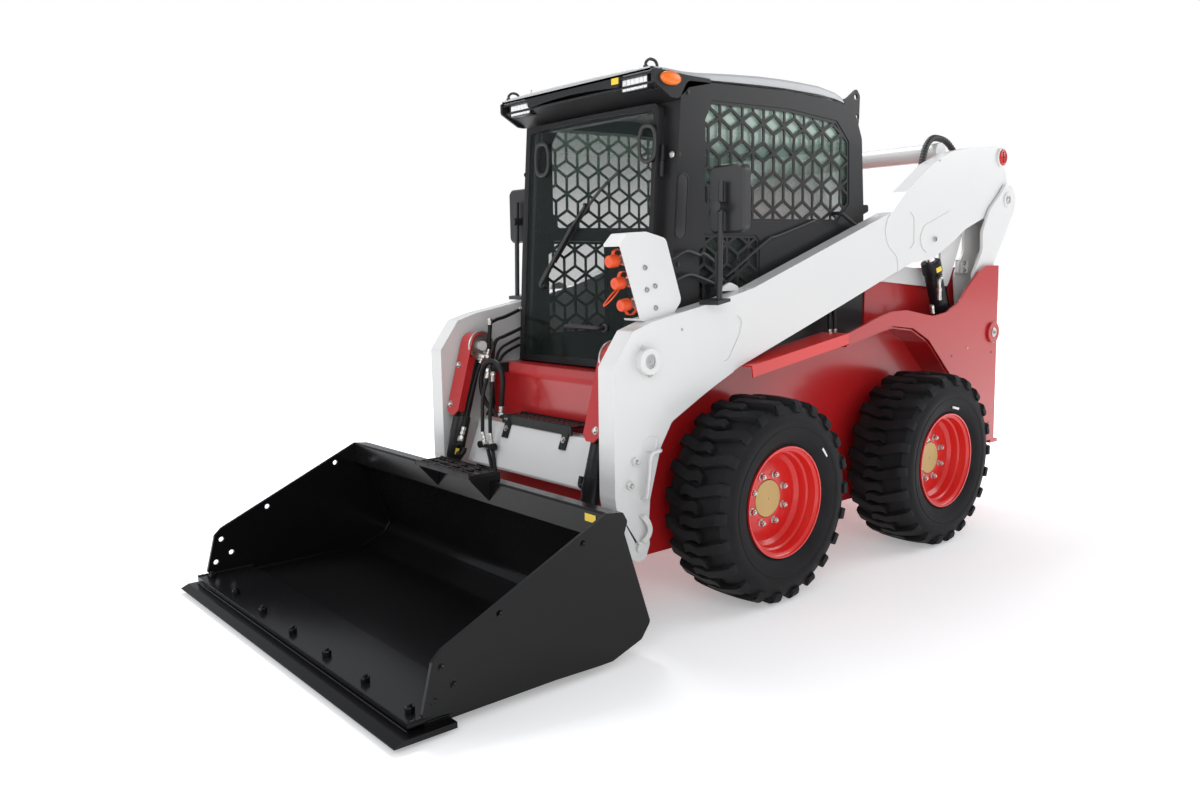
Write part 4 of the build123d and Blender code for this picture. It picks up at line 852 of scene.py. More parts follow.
def label(name, corners, body, mat=None, lift=0.0006):
    """A blank sticker from four corners going round, standing a hair proud along its normal."""
    a, b, c, d = corners
    normal = (b - a).cross(d - a).normalized()
    bm = bmesh.new()
    path = []
    pts = [a, b, c, d]
    for i, corner in enumerate(pts):
        back, ahead = (pts[i - 1] - corner), (pts[(i + 1) % 4] - corner)
        cut = 0.08 * min(back.length, ahead.length)
        for k in range(4):
            t = k / 3
            path.append((corner + back.normalized() * cut) * (1 - t) ** 2 + corner * 2 * t * (1 - t)
                        + (corner + ahead.normalized() * cut) * t ** 2)
    loft(bm, [[p + normal * (lift + 0.0001) for p in path], [p - normal * 0.0012 for p in path]])
    return finish_mesh(name, bm, mat or YELLOW, body, angle=30)


label("visor_label", [P(951, 258, 2030), P(951, 300, 2030), P(951, 300, 2060), P(951, 258, 2060)], "chassis")

# The door: a frame round one arched pane, with its wiper, latch and pull rings
DOOR_LEAN = (DOOR_TOP[0] - DOOR_FOOT[0]) / (DOOR_TOP[1] - DOOR_FOOT[1])


def door_point(y, z, out=0.0):
    """A place on the door's rear plane, so far in front of it (stations, mm)."""
    return P(DOOR_FOOT[0] + DOOR_LEAN * (z - DOOR_FOOT[1]) + out, y, z)


def door_ring(y_half, bottom, side_top, mid_top, radius):
    """The closed outline of the door or its pane, with an arched top, in (y, z)."""
    path = []

    def arc(y, z, start):
        for k in range(7):
            a = math.radians(start + 15 * k)
            path.append(Vector((y + radius * math.cos(a), z + radius * math.sin(a))))

    arc(-y_half + radius, bottom + radius, 180)
    arc(y_half - radius, bottom + radius, 270)
    arc(y_half - radius, side_top - radius, 0)
    reach = y_half - radius
    for k in range(1, 12):
        y = reach * (1 - k / 6)
        path.append(Vector((y, side_top + (mid_top - side_top) * (1 - (y / reach) ** 2))))
    arc(-y_half + radius, side_top - radius, 90)
    return path


def door():
    """The door's frame with a rebate for its pane, and the pane itself."""
    outer = door_ring(426, 905, 1952, 1955, 26)
    inner = door_ring(421, 911, 1946, 1950, 24)
    step = door_ring(404, 930, 1926, 1940, 18)
    rings = [(outer, 1), (outer, 33), (door_ring(425, 906, 1951, 1954, 25), 35), (inner, 35), (inner, 24),
             (step, 22), (step, 6), (inner, 1)]
    bm = bmesh.new()
    loft(bm, [[door_point(p.x, p.y, out) for p in ring] for ring, out in rings], wrap=True)
    for height in (1120, 1700):
        x = DOOR_FOOT[0] + 12 + DOOR_LEAN * (height - DOOR_FOOT[1])
        place = facing(P(x - DOOR_LEAN * 30, 439, height - 30), (DOOR_LEAN, 0, 1))
        disc(bm, 0.009, 0, 0.0602, place, 20)
        cuboid(bm, x - 5, x + 5, 424, 438, height - 25, height + 25)
    frame_piece = finish_mesh("door_surround", bm, CAB, "cab_door", bevel=0.001, segments=2, angle=40)
    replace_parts(frame_piece, "door_frame")
    bm = bmesh.new()
    pane = door_ring(420.5, 911.5, 1945.5, 1949.5, 23)
    loft(bm, [[door_point(p.x, p.y, out) for p in pane] for out in (24.3, 34)])
    pane_piece = finish_mesh("door_pane", bm, GLASS, "cab_door", angle=30)
    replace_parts(pane_piece, "door_glass")
    bm = bmesh.new()
    seal_out, seal_in = door_ring(420, 912, 1945, 1949, 23), door_ring(403, 931, 1922, 1938, 17)
    rings = [(seal_out, 34.2), (seal_out, 34.9), (seal_in, 34.9), (seal_in, 34.2)]
    loft(bm, [[door_point(p.x, p.y, out) for p in ring] for ring, out in rings], wrap=True)
    finish_mesh("door_seal", bm, HOSE, "cab_door", angle=50)


door()


def wiper():
    """The wiper's motor cap, its arm and its blade, standing off the pane."""
    bm = bmesh.new()
    pivot = door_point(-270, 1250, 34)
    turned(bm, [(0, -0.01), (0.020, -0.01), (0.020, 0.010), (0.015, 0.016), (0.009, 0.020), (0, 0.021)],
           facing(pivot, (1, 0, 0.06)), 24)
    arm = [door_point(-270, 1250, 50), door_point(-215, 1318, 50), door_point(-60, 1494, 52),
           door_point(20, 1585, 44)]
    for a, b, w in zip(arm, arm[1:], (0.013, 0.0105, 0.0075)):
        tube_mesh(bm, [a, a.lerp(b, 0.5), b], w, 8)
    tip = door_point(20, 1585, 40)
    disc(bm, 0.007, 0, 0.016, facing(tip, (1, 0, 0.06)), 12)
    blade = smooth_path([door_point(-187, 1349, 36), door_point(-90, 1453, 37), door_point(20, 1570, 38),
                         door_point(120, 1652, 37), door_point(212, 1705, 36)], 8)
    side = Vector((0, -0.66, 0.75))
    rings = []
    for p in blade:
        rings.append([p + side * s + Vector((o, 0, 0)) for s,
                      o in ((-0.006, 0.004), (0.006, 0.004), (0.008, 0.0),
                                                                   (0.002, -0.004), (-0.002, -0.004),
                            (-0.008, 0.0))])
    loft(bm, rings)
    for share in (0.18, 0.4, 0.62, 0.84):
        p = blade[int(share * (len(blade) - 1))]
        disc(bm, 0.006, -0.002, 0.008, facing(p, (1, 0, 0)), 8)
    finish_mesh("wiper", bm, PLASTIC, "cab_door", bevel=0.0005)


wiper()

bm = bmesh.new()
for centre_y, centre_z in ((-296, 1800), (384, 1800)):
    loop_points = []
    for k in range(40):
        a = 2 * math.pi * k / 40
        wide = 0.046 * math.copysign(abs(math.cos(a)) ** 0.75, math.cos(a))
        tall = 0.068 * math.copysign(abs(math.sin(a)) ** 0.75, math.sin(a))
        loop_points.append(door_point(centre_y, centre_z, 46) + Vector((0, wide, tall)))
    rings = []
    for i, p in enumerate(loop_points):
        t = (loop_points[(i + 1) % 40] - loop_points[i - 1]).normalized()
        n = Vector((1, 0, 0))
        s = t.cross(n)
        thick = 0.0075 if abs(p.z - door_point(centre_y, centre_z, 46).z) < 0.04 else 0.0095
        rings.append([p + (s * math.cos(a) * thick + n * math.sin(a) * 0.006)
                      for a in (2 * math.pi * k / 10 for k in range(10))])
    loft(bm, rings, wrap=True)
    top = door_point(centre_y, centre_z, 46) + Vector((0, 0, 0.068))
    tube_mesh(bm, smooth_path([top, top + Vector((0.001, 0.003, 0.03)), door_point(centre_y, 1930, 40)], 5),
              0.0016, 6)
finish_mesh("pull_rings", bm, PLASTIC, "cab_door", angle=60)

bm = bmesh.new()
GRIP = (-70, 156)
y0, y1 = GRIP
path = smooth_path([door_point(y0, 1072, 30), door_point(y0 + 4, 1072, 58), door_point(y0 + 24, 1073, 68),
                    door_point(43, 1074, 70), door_point(y1 - 24, 1073, 68), door_point(y1 - 4, 1072, 58),
                    door_point(y1, 1072, 30)], 6)
tube_mesh(bm, path, 0.0105, 12)
for y in GRIP:
    stud(bm, 0.019, 0, 0.006, 0.015, 0.009, facing(door_point(y, 1072, 29), (1, 0, 0.06)), 20)
finish_mesh("door_grip", bm, PLASTIC, "cab_door", angle=50)

# The cab's outside: pocket, handles, bolts and trim
POCKET_LEAN = 0.07


def pocket_slot(radius):
    """The upright slot in the cab's pillar, in (x, z), before it leans."""
    slot = []
    for k in range(32):
        a = 2 * math.pi * k / 32
        up = 96 if math.sin(a) > 0 else -96
        slot.append((POCKET[0] + radius * math.cos(a), POCKET[1] + up + radius * math.sin(a)))
    return slot


bm = bmesh.new()
for side in (1, -1):
    slot = pocket_slot(28)
    outer = [(x + (x - POCKET[0]) * 0.16, z + (z - POCKET[1]) * 0.03) for x, z in slot]
    loft(bm, [[P(x - (z - POCKET[1]) * POCKET_LEAN, side * y, z) for x, z in points]
              for points, y in ((outer, 499.6), (outer, 501.4), (slot, 502.2), (slot, 500.3))],
         close_ends=False)
finish_mesh("pocket_rims", bm, CAB, "chassis", angle=50)
bm = bmesh.new()
for side in (1, -1):
    loft(bm, [[P(x - (z - POCKET[1]) * POCKET_LEAN, side * y, z) for x, z in pocket_slot(27.6)]
              for y in (499.5, 500.6)])
finish_mesh("pocket_floors", bm, PLASTIC, "chassis")

bm = bmesh.new()
for side in (1, -1):
    tube_mesh(bm, smooth_path([P(-177, side * 499, 1553), P(-179, side * 530, 1552),
                               P(-190, side * 541, 1547),
                               P(-246, side * 543, 1520), P(-302, side * 541, 1495),
                               P(-313, side * 530, 1489),
                               P(-315, side * 499, 1488)], 6), 0.0085, 12)
    lug = [(-385, 1544), (-400, 1600), (-484, 1603), (-487, 1572), (-411, 1544)]
    side_plate(bm, lug, side * 468, side * 476, [4, 8, 12, 12, 4])
finish_mesh("cab_handles", bm, CAB, "chassis", bevel=0.001, angle=50)
cab_bolts = []
for side in (1, -1):
    for x, z in ((840, 1753), (846, 1330), (872, 1010), (790, 1990)):
        cab_bolts.append((P(x - 20, side * CAB_HALF, z), Vector((0, side, 0))))
bolt_rows("cab_bolts", cab_bolts, PLASTIC, "chassis", across=0.013, head=0.004, washer=0.010)
bm = bmesh.new()
turned(bm, [(0, 0), (0.014, 0), (0.014, 0.003), (0.010, 0.006), (0.006, 0.006), (0.006, 0.003), (0, 0.003)],
       facing(P(828, 472, 1753), (1, 0, 0)), 20)
finish_mesh("pillar_nut", bm, ZINC, "chassis", angle=30)

bm = bmesh.new()
for points in (((905, 1340), (883, 1351), (806, 1382), (732, 1366), (711, 1373), (653, 1345), (630, 1330)),
               ((900, 1258), (872, 1267), (795, 1289), (737, 1280), (652, 1253), (630, 1244))):
    run = [P(x, 524, z) for x, z in points]
    run[0].y, run[-1].y = P(0, 499, 0).y, P(0, 499, 0).y
    tube_mesh(bm, smooth_path(run, 5), 0.0075, 10)
run = [P(x, y, z) for x, y, z in ((560, 499, 1280), (532, 512, 1295), (301, 512, 1428), (230, 512, 1448),
                                  (-3, 512, 1512), (-24, 499, 1519))]
tube_mesh(bm, smooth_path(run, 5), 0.006, 10)
finish_mesh("cab_side_tubes", bm, PLASTIC, "chassis")


def cushion(name, outline, y_half, cap, channels, rest=None):
    """A padded form blown up by a short cloth simulation, then drawn in along its seams."""
    bm = bmesh.new()
    side_plate(bm, outline, -y_half, y_half, 26)
    bmesh.ops.recalc_face_normals(bm, faces=bm.faces)
    mesh = bpy.data.meshes.new(name)
    bm.to_mesh(mesh)
    bm.free()
    piece = bpy.data.objects.new(name, mesh)
    bpy.context.scene.collection.objects.link(piece)
    grid = piece.modifiers.new("grid", "REMESH")
    grid.mode = "VOXEL"
    grid.voxel_size = 0.010

    def bake():
        deps = bpy.context.evaluated_depsgraph_get()
        baked = bpy.data.meshes.new_from_object(piece.evaluated_get(deps))
        piece.modifiers.clear()
        piece.data = baked

    bake()
    bm = bmesh.new()
    bm.from_mesh(piece.data)
    for _ in range(6):
        bmesh.ops.smooth_vert(bm, verts=bm.verts, factor=0.5, use_axis_x=True, use_axis_y=True,
                              use_axis_z=True)
    bm.to_mesh(piece.data)
    bm.free()
    start = [v.co.copy() for v in piece.data.vertices]
    cloth = piece.modifiers.new("cloth", "CLOTH")
    cloth.settings.use_pressure = True
    cloth.settings.uniform_pressure_force = 4
    cloth.settings.effector_weights.gravity = 0
    cloth.point_cache.frame_start, cloth.point_cache.frame_end = 1, 20
    for step in range(1, 21):
        bpy.context.scene.frame_set(step)
    bake()
    bpy.context.scene.frame_set(1)
    low = min(v.z for v in start)
    width = max(v.y for v in start)
    for v, was in zip(piece.data.vertices, start):
        move = v.co - was
        if move.length > cap:
            move *= cap / move.length
        if rest is not None and was.z < low + rest:
            move.z = 0
        v.co = was + move
    normals = [v.normal.copy() for v in piece.data.vertices]
    for v, n in zip(piece.data.vertices, normals):
        dip = max(0.007 * math.exp(-(c(v.co) / 0.006) ** 2) for c in channels(width))
        v.co -= n * dip
    smooth = piece.modifiers.new("smooth", "SUBSURF")
    smooth.levels = smooth.render_levels = 1
    bake()
    for poly in piece.data.polygons:
        poly.use_smooth = True
    piece.data.materials.clear()
    piece.data.materials.append(VINYL)
    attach(piece, "chassis")
    return piece


lean = (P(-200, 0, 1500) - P(-118, 0, 960)).normalized()
seat_pan = cushion("seat_cushion", [(-108, 868), (348, 868), (352, 900), (346, 950), (-108, 950)], 240, 0.012,
                   lambda w: [lambda c, s=s: abs(c.y) - w * s for s in (0.62,)]
                   + [lambda c: c.x - P(60, 0, 0).x if abs(c.y) < w * 0.62 else 1,
                      lambda c: c.x - P(200, 0, 0).x if abs(c.y) < w * 0.62 else 1,
                      lambda c: c.z - P(0, 0, 906).z], rest=0.02)
seat_back = cushion("seat_back", [(-112, 972), (-188, 1488), (-120, 1490), (-38, 972)], 230, 0.012,
                    lambda w: [lambda c: abs(c.y) - w * 0.6, lambda c: c.z - P(0, 0, 1330).z,
                               lambda c: c.z - P(0, 0, 1160).z if abs(c.y) < w * 0.6 else 1])
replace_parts(seat_pan, "seat_cushions")
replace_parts(seat_back, "seat_cushions")


# The arms: bosses, pins, bolts, handles and lamps

def collar(bm, place, outer, inner, height, lip=0.002):
    """A ring standing on a place, its rim rounded and its bore sunk."""
    turned(bm, [(inner, 0.0), (outer, 0.0), (outer, height - lip), (outer - lip, height),
                (inner + lip, height),
                (inner, height - lip)], place, 48, closed=True)


white_bits, grey_bits, zinc_bits = bmesh.new(), bmesh.new(), bmesh.new()
for side in (1, -1):
    out = Vector((0, side, 0))
    # The pin sleeve at the tilt cylinder's base, with its nipple and keeper screw
    boss = facing(pin_at(TILT_BASE, side * LEG_FACE), out)
    collar(white_bits, boss, 0.0505, 0.026, 0.036, 0.003)
    turned(grey_bits, [(0, 0), (0.0262, 0), (0.0262, 0.029), (0.018, 0.029), (0.0165, 0.027), (0.010, 0.027),
                       (0.009, 0.0285), (0.004, 0.0285), (0.003, 0.026), (0, 0.026)], boss, 40)
    hex_bolt(zinc_bits, P(1154, side * 648, 1024), Vector((0.35, side * 0.3, 0.9)), 0.010, 0.009)
    stud(zinc_bits, 0.0035, 0, 0.016, 0.0025, 0.019,
         facing(P(1154, side * 648, 1024), Vector((0.35, side * 0.3, 0.9))), 12)
    turned(zinc_bits, [(0, 0), (0.009, 0), (0.009, 0.012), (0.007, 0.014), (0.0045, 0.014), (0.0045, 0.009),
                       (0, 0.009)],
           facing(P(1108, side * LEG_FACE, 928), out), 16)
    # Stops with bolts on the lower leg
    for x, z in ((1186, 612), (1214, 527)):
        place = facing(P(x, side * LEG_FACE, z), out)
        stud(white_bits, 0.0165, 0, 0.014, 0.0145, 0.016, place, 32)
        hex_bolt(zinc_bits, P(x, side * 647, z), out, 0.015, 0.008, 0.0105, spin=x)
    # The raised hand-hold pad, the bent grab bar and the hose lug under it
    pad = [(1140, 640), (1143, 668), (1131, 687), (1108, 699), (1083, 701), (1062, 694), (1064, 660),
           (1085, 634)]
    rings = []
    base = round_corners([Vector(p) for p in pad], 26)
    middle = sum(base, Vector((0, 0))) / len(base)
    for share, y in ((1.0, 631.5), (1.0, 633.5), (0.95, 635), (0.80, 635), (0.75, 632.6)):
        rings.append([P(middle.x + (p.x - middle.x) * share, side * y, middle.y + (p.y - middle.y) * share)
                      for p in base])
    loft(white_bits, rings)
    bar = smooth_path([P(1070, side * 630, 640), P(1072, side * 652, 641), P(1090, side * 660, 641),
                       P(1116, side * 662, 638), P(1131, side * 662, 622), P(1139, side * 662, 560),
                       P(1150, side * 662, 490), P(1152, side * 657, 473), P(1150, side * 640, 468),
                       P(1149, side * 630, 468)], 5)
    tube_mesh(white_bits, bar, 0.0078, 12)
    lug = smooth_path([P(1156, side * 630, 405), P(1152, side * 646, 398), P(1138, side * 652, 378),
                       P(1128, side * 653, 348), P(1137, side * 651, 322), P(1150, side * 643, 306),
                       P(1154, side * 630, 300)], 6)
    rings = []
    for i, p in enumerate(lug):
        t = (lug[min(i + 1, len(lug) - 1)] - lug[max(i - 1, 0)]).normalized()
        n = t.cross(Vector((0, side, 0))).normalized() if abs(t.y) < 0.9 else Vector((1, 0, 0))
        rings.append([p + n * a + Vector((0, side * b, 0)) for a, b in
                      ((-0.011, -0.002), (0.011, -0.002), (0.011, 0.002), (-0.011, 0.002))])
    loft(white_bits, rings)
    # The lift rod's pin in its pad, with a countersunk screw
    turned(grey_bits, [(0, 0), (0.0135, 0), (0.0135, 0.003), (0.0115, 0.0045), (0.0065, 0.0045),
                       (0.0055, 0.001),
                       (0, 0.001)], facing(P(-823, side * 635.5, 1440), out), 28)
    # A plug low on the rear plate and one near its top edge
    for x, z in ((-858, 1820), (930, 1085)):
        stud(grey_bits, 0.006, -0.001, 0.002, 0.0045, 0.003, facing(P(x, side * ARM_FACE, z), out), 14)
    side_plate(white_bits, [(540, 1222), (546, 1240), (594, 1257), (634, 1240), (642, 1222)],
               *sorted((side * 555, side * 565)), [0, 14, 30, 14, 0])
finish_mesh("arm_bosses", white_bits, WHITE, "arms", bevel=0.0008, segments=2, angle=38)
finish_mesh("arm_pin_ends", grey_bits, STEEL_BRIGHT, "arms", angle=28)
finish_mesh("arm_screws", zinc_bits, ZINC, "arms", angle=28)


def tail_lamp_pair():
    """Each red lamp: a ribbed lens in its ring, split by a dark bar."""
    lens, bars, rims = bmesh.new(), bmesh.new(), bmesh.new()
    for side in (1, -1):
        place = facing(P(LAMP[0], side * 630.3, LAMP[1]), (0, side, 0))
        turned(lens, [(0, -0.0), (0.041, 0), (0.041, 0.006), (0.0385, 0.010), (0.034, 0.012), (0.030, 0.0115),
                      (0.028, 0.0085), (0.020, 0.0092), (0, 0.0097)], place, 56)
        turn = place @ Matrix.Rotation(math.radians(8), 4, "Z")
        for wide, long_ in ((0.0035, 0.0292), (0.0292, 0.0028)):
            ring = [turn @ Vector((sx * long_, sy * wide, 0)) for sx,
                    sy in ((-1, -1), (1, -1), (1, 1), (-1, 1))]
            n = Vector((0, side, 0))
            loft(bars, [[p + n * 0.008 for p in ring], [p + n * 0.0112 for p in ring]])
        turned(rims, [(0.0415, -0.002), (0.0495, -0.002), (0.0495, 0.004), (0.046, 0.007), (0.0425, 0.007),
                      (0.0415, 0.005)], place, 56, closed=True)
    piece = finish_mesh("tail_lenses", lens, TAIL, "arms", angle=50)
    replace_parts(piece, "tail_lamps")
    finish_mesh("tail_bars", bars, DARK_LENS, "arms", bevel=0.0005)
    finish_mesh("tail_rims", rims, WHITE, "arms", angle=40)


LAMP = (-1458, 1870)
tail_lamp_pair()

guard_bolts = []
for x, z in ((1088, 1319), (1079, 1238), (1037, 1251), (1034, 1170)):
    guard_bolts.append((P(x, 590.3, z), Vector((0, 1, 0))))
bm = bmesh.new()
for point, direction in guard_bolts:
    place = facing(point, direction)
    turned(bm, [(0, 0), (0.0105, 0), (0.0105, 0.0015), (0.0085, 0.002), (0.0085, 0.006), (0.0065, 0.0085),
                (0.0035, 0.0085), (0.003, 0.0055), (0, 0.0055)], place, 24)
finish_mesh("guard_bolts", bm, STEEL_BRIGHT, "arms", angle=26)

# Quick couplers: plated bodies in one block, orange dust caps on straps
body_bits, cap_bits, block_bits = bmesh.new(), bmesh.new(), bmesh.new()
side_plate(block_bits, [(986, 1180), (1020, 1169), (1099, 1398), (1063, 1399)], 516, 585, [6, 6, 6, 6])
for i in range(3):
    rear = P(1026 + 28 * i, 545, 1198 + 80 * i)
    front = P(1024 + 28 * i + 148, 545, 1198 + 80 * i - 17)
    axis = (front - rear).normalized()
    place = facing(rear, axis)
    long_ = (front - rear).length
    turned(body_bits, [(0, 0), (0.019, 0.0), (0.019, 0.018), (0.0155, 0.020), (0.0155, 0.034),
                       (0.0178, 0.036),
                       (0.0178, 0.052), (0.0150, 0.054), (0.0150, 0.060), (0.0170, 0.062), (0.0170, 0.078),
                       (0.0135, 0.080), (0.0135, 0.112), (0, 0.112)], place, 28)
    turned(cap_bits, [(0.0172, 0.060), (0.0215, 0.060), (0.0225, 0.063), (0.0225, 0.072), (0.0215, 0.075),
                      (0.0172, 0.075)], place, 28, closed=True)
    turned(cap_bits, [(0, 0.104), (0.0205, 0.104), (0.0235, 0.107), (0.0235, 0.130), (0.0225, long_ - 0.003),
                      (0.0200, long_), (0.006, long_), (0.005, long_ - 0.002), (0, long_ - 0.002)], place, 12)
    # The strap that bows from the collar over to the cap
    around = axis.cross(Vector((0, 1, 0))).normalized() * (1 if i != 0 else -1)
    bow = smooth_path([rear + axis * 0.068 + around * 0.0205, rear + axis * 0.074 + around * 0.032,
                       rear + axis * 0.094 + around * 0.040, rear + axis * 0.114 + around * 0.036,
                       rear + axis * 0.122 + around * 0.0225], 6)
    wide = Vector((0, 1, 0))
    rings = []
    for k, p in enumerate(bow):
        t = (bow[min(k + 1, len(bow) - 1)] - bow[max(k - 1, 0)]).normalized()
        n = t.cross(wide).normalized()
        rings.append([p + wide * a + n * b for a, b in ((-0.008, -0.0016), (0.008, -0.0016), (0.008, 0.0016),
                                                        (-0.008, 0.0016))])
    loft(cap_bits, rings)
# A pull loop hangs from the middle cap
ring_at = P(1212, 545, 1216)
long_axis = (P(1255, 545, 1180) - P(1176, 545, 1248)).normalized()
short_axis = Vector((0, 1, 0))
loop_points = [ring_at + long_axis * 0.050 * math.cos(a) + short_axis * 0.011 * math.sin(a)
               for a in (2 * math.pi * k / 32 for k in range(32))]
rings = []
for k, p in enumerate(loop_points):
    t = (loop_points[(k + 1) % 32] - loop_points[k - 1]).normalized()
    n = long_axis.cross(short_axis).normalized()
    s = t.cross(n)
    rings.append([p + s * math.cos(b) * 0.0030 + n * math.sin(b) * 0.0030
                  for b in (2 * math.pi * m / 8 for m in range(8))])
loft(cap_bits, rings, wrap=True)
finish_mesh("coupler_bodies", body_bits, ZINC, "arms", angle=30)
caps_piece = finish_mesh("coupler_caps", cap_bits, COUPLER, "arms", bevel=0.0008, angle=34)
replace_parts(caps_piece, "quick_couplers")
finish_mesh("coupler_block", block_bits, BLACK, "arms", bevel=0.001)

# The front step: bolts, raised teeth along its edges and dimples between its openings
bm = bmesh.new()
for y in (-200, 200):
    face = facing(P(1176.5, y, 636), Vector((0.932, 0, 0.363)))
    disc(bm, 0.013, 0, 0.003, face, 20)
    stud(bm, 0.0088, 0.003, 0.009, 0.0075, 0.0105, face, 6)
finish_mesh("step_bolts", bm, ZINC, "arms", angle=30)


def teeth(name, x0, x1, y0, y1, z, body, mat):
    """Upright teeth along the two long edges of a step, and dimples between its openings."""
    bm = bmesh.new()
    count = int(abs(y1 - y0) / 16)
    for x in (x0 + 3, x1 - 3):
        for i in range(count):
            y = y0 + (i + 0.5) * (y1 - y0) / count
            outline = [(y - 7, z - 2), (y + 7, z - 2), (y + 4.5, z + 6), (y - 4.5, z + 6)]
            loft(bm, [[P(x + dx, a, b) for a, b in outline] for dx in (-2, 2)])
    rows = 3
    for r in range(rows):
        x = x0 + (r + 0.5) * (x1 - x0) / rows
        for i in range(count // 2):
            y = y0 + (i + 0.5) * (y1 - y0) / (count // 2)
            turned(bm, [(0.0062, -0.0005), (0.0048, 0.0022), (0.0032, 0.0022), (0.0028, -0.0002)],
                   facing(P(x, y + (8 if r % 2 else 0), z), (0, 0, 1)), 10)
    return finish_mesh(name, bm, mat, body, angle=30)


teeth("front_step_teeth", 1066, 1168, -236, 236, 692, "arms", BLACK)

# The tilt cylinders: guards' bolts, caps, seams and fittings
tilt_axis = (pin_at(TILT_EYE, 0) - pin_at(TILT_BASE, 0)).normalized()
tilt_front = Vector((0, 1, 0)).cross(tilt_axis) * -1
if tilt_front.x < 0:
    tilt_front = -tilt_front
zinc_bits, dark_bits, seam_bits = bmesh.new(), bmesh.new(), bmesh.new()
for side in (1, -1):
    base = pin_at(TILT_BASE, side * TILT_Y)
    for along in (0.105, 0.285):
        point = base + tilt_axis * along + tilt_front * 0.058 + Vector((0, side * 0.022, 0))
        place = facing(point, tilt_front)
        disc(zinc_bits, 0.0155, -0.001, 0.002, place, 24)
        turned(zinc_bits, [(0, 0.002), (0.011, 0.002), (0.011, 0.008), (0.009, 0.011), (0.004, 0.0125),
                           (0, 0.0125)],
               place, 20)
    pin = facing(pin_at(TILT_BASE, side * (TILT_Y - 30)), (0, -side, 0))
    turned(zinc_bits, [(0, 0), (0.066, 0), (0.067, 0.002), (0.067, 0.006), (0.064, 0.008), (0.044, 0.008),
                       (0.042, 0.005), (0.030, 0.005), (0.028, 0.009), (0.012, 0.009), (0.010, 0.006),
                       (0, 0.006)],
           pin, 56)
    length = (pin_at(TILT_EYE, 0) - pin_at(TILT_BASE, 0)).length
    place = facing(base, tilt_axis)
    turned(dark_bits, [(0.0335, 0.325), (0.0385, 0.328), (0.0395, 0.333), (0.0395, 0.512), (0.0350, 0.522),
                       (0.0350, length - 0.112), (0.0345, length - 0.108), (0.0335, length - 0.1045),
                       (0.0205, length - 0.1045), (0.0205, length - 0.12)], place, 48, closed=True)
    for at in (0.395, 0.46):
        turned(seam_bits, [(0.0393, at - 0.003), (0.0404, at - 0.0012), (0.0404, at + 0.0012),
                           (0.0393, at + 0.003)],
               place, 48)
    # The port block low on the barrel's inner side, with its elbow
    port = base + tilt_axis * 0.50 + Vector((0, -side * 0.040, 0))
    stud(dark_bits, 0.018, -0.006, 0.010, 0.014, 0.013, facing(port, (0, -side, 0)), 20)
    tube_mesh(dark_bits, smooth_path([port + Vector((0, -side * 0.01, 0)),
                                      port + Vector((0.004, -side * 0.024, 0.002)),
                                      port + Vector((-0.004, -side * 0.032, 0.016)),
                                      port + Vector((-0.010, -side * 0.033, 0.034))], 5), 0.0105, 12)
finish_mesh("tilt_zinc", zinc_bits, ZINC, "tilt_barrels", angle=26)
finish_mesh("tilt_heads", dark_bits, BLACK, "tilt_barrels", bevel=0.0006, angle=35)
finish_mesh("tilt_seams", seam_bits, BLACK, "tilt_barrels", angle=60)
for side in (1, -1):
    middle = pin_at(TILT_BASE, side * TILT_Y) + tilt_axis * 0.488
    u = tilt_axis * 0.014
    v = (tilt_front * 0.35 + Vector((0, -side * 0.94, 0))).normalized()
    w = v.cross(tilt_axis).normalized() * 0.008
    centre = middle + v * 0.0396
    label("tilt_label_" + (dict(SIDES)[side]),
          [centre - u - w, centre + u - w, centre + u + w, centre - u + w]
          if (u.cross(w)).dot(v) > 0 else [centre - u + w, centre + u + w, centre + u - w, centre - u - w],
          "tilt_barrels")

# The lift cylinders: head glands, seams, port elbows and labels
lift_axis = (pin_at(LIFT_EYE, 0) - pin_at(LIFT_BASE, 0)).normalized()
lift_length = (pin_at(LIFT_EYE, 0) - pin_at(LIFT_BASE, 0)).length
dark_bits, zinc_bits, seam_bits = bmesh.new(), bmesh.new(), bmesh.new()
for side in (1, -1):
    base = pin_at(LIFT_BASE, side * LIFT_Y)
    place = facing(base, lift_axis)
    head = lift_length - 0.12
    turned(dark_bits, [(0.0425, head - 0.062), (0.0475, head - 0.060), (0.0485, head - 0.057),
                       (0.0485, head - 0.004),
                       (0.0465, head + 0.001), (0.0425, head + 0.0015), (0.0262, head + 0.0015),
                       (0.0262, head - 0.01)],
           place, 48, closed=True)
    for at in (head - 0.10, head - 0.225, head - 0.31):
        turned(seam_bits, [(0.0426, at - 0.004), (0.0440, at - 0.0015), (0.0440, at + 0.0015),
                           (0.0426, at + 0.004)],
               place, 48)
    lean = Vector((0, side, 0))
    port = base + lift_axis * (head - 0.085) + lean * 0.040 + Vector((0.012, 0, 0))
    stud(zinc_bits, 0.012, -0.004, 0.008, 0.010, 0.010, facing(port, lean), 6)
    elbow = smooth_path([port, port + lean * 0.018 + Vector((0.010, 0, 0.0)),
                         port + lean * 0.020 + Vector((0.030, 0, -0.008)),
                         port + lean * 0.018 + Vector((0.033, 0, -0.030)),
                         port + lean * 0.015 + Vector((0.026, 0, -0.055))], 5)
    tube_mesh(zinc_bits, elbow, 0.0088, 12)
    a, b = elbow[-1], elbow[-1] + Vector((-0.013, -side * 0.004, -0.052))
    turned(zinc_bits, [(0, -0.004), (0.0125, -0.004), (0.0125, 0.012), (0.0105, 0.014), (0.0105, 0.046),
                       (0.0115, 0.048),
                       (0.0115, 0.056), (0, 0.056)], facing(a, b - a), 16)
finish_mesh("lift_heads", dark_bits, BLACK, "lift_barrels", bevel=0.0006, angle=35)
finish_mesh("lift_seams", seam_bits, BLACK, "lift_barrels", angle=60)
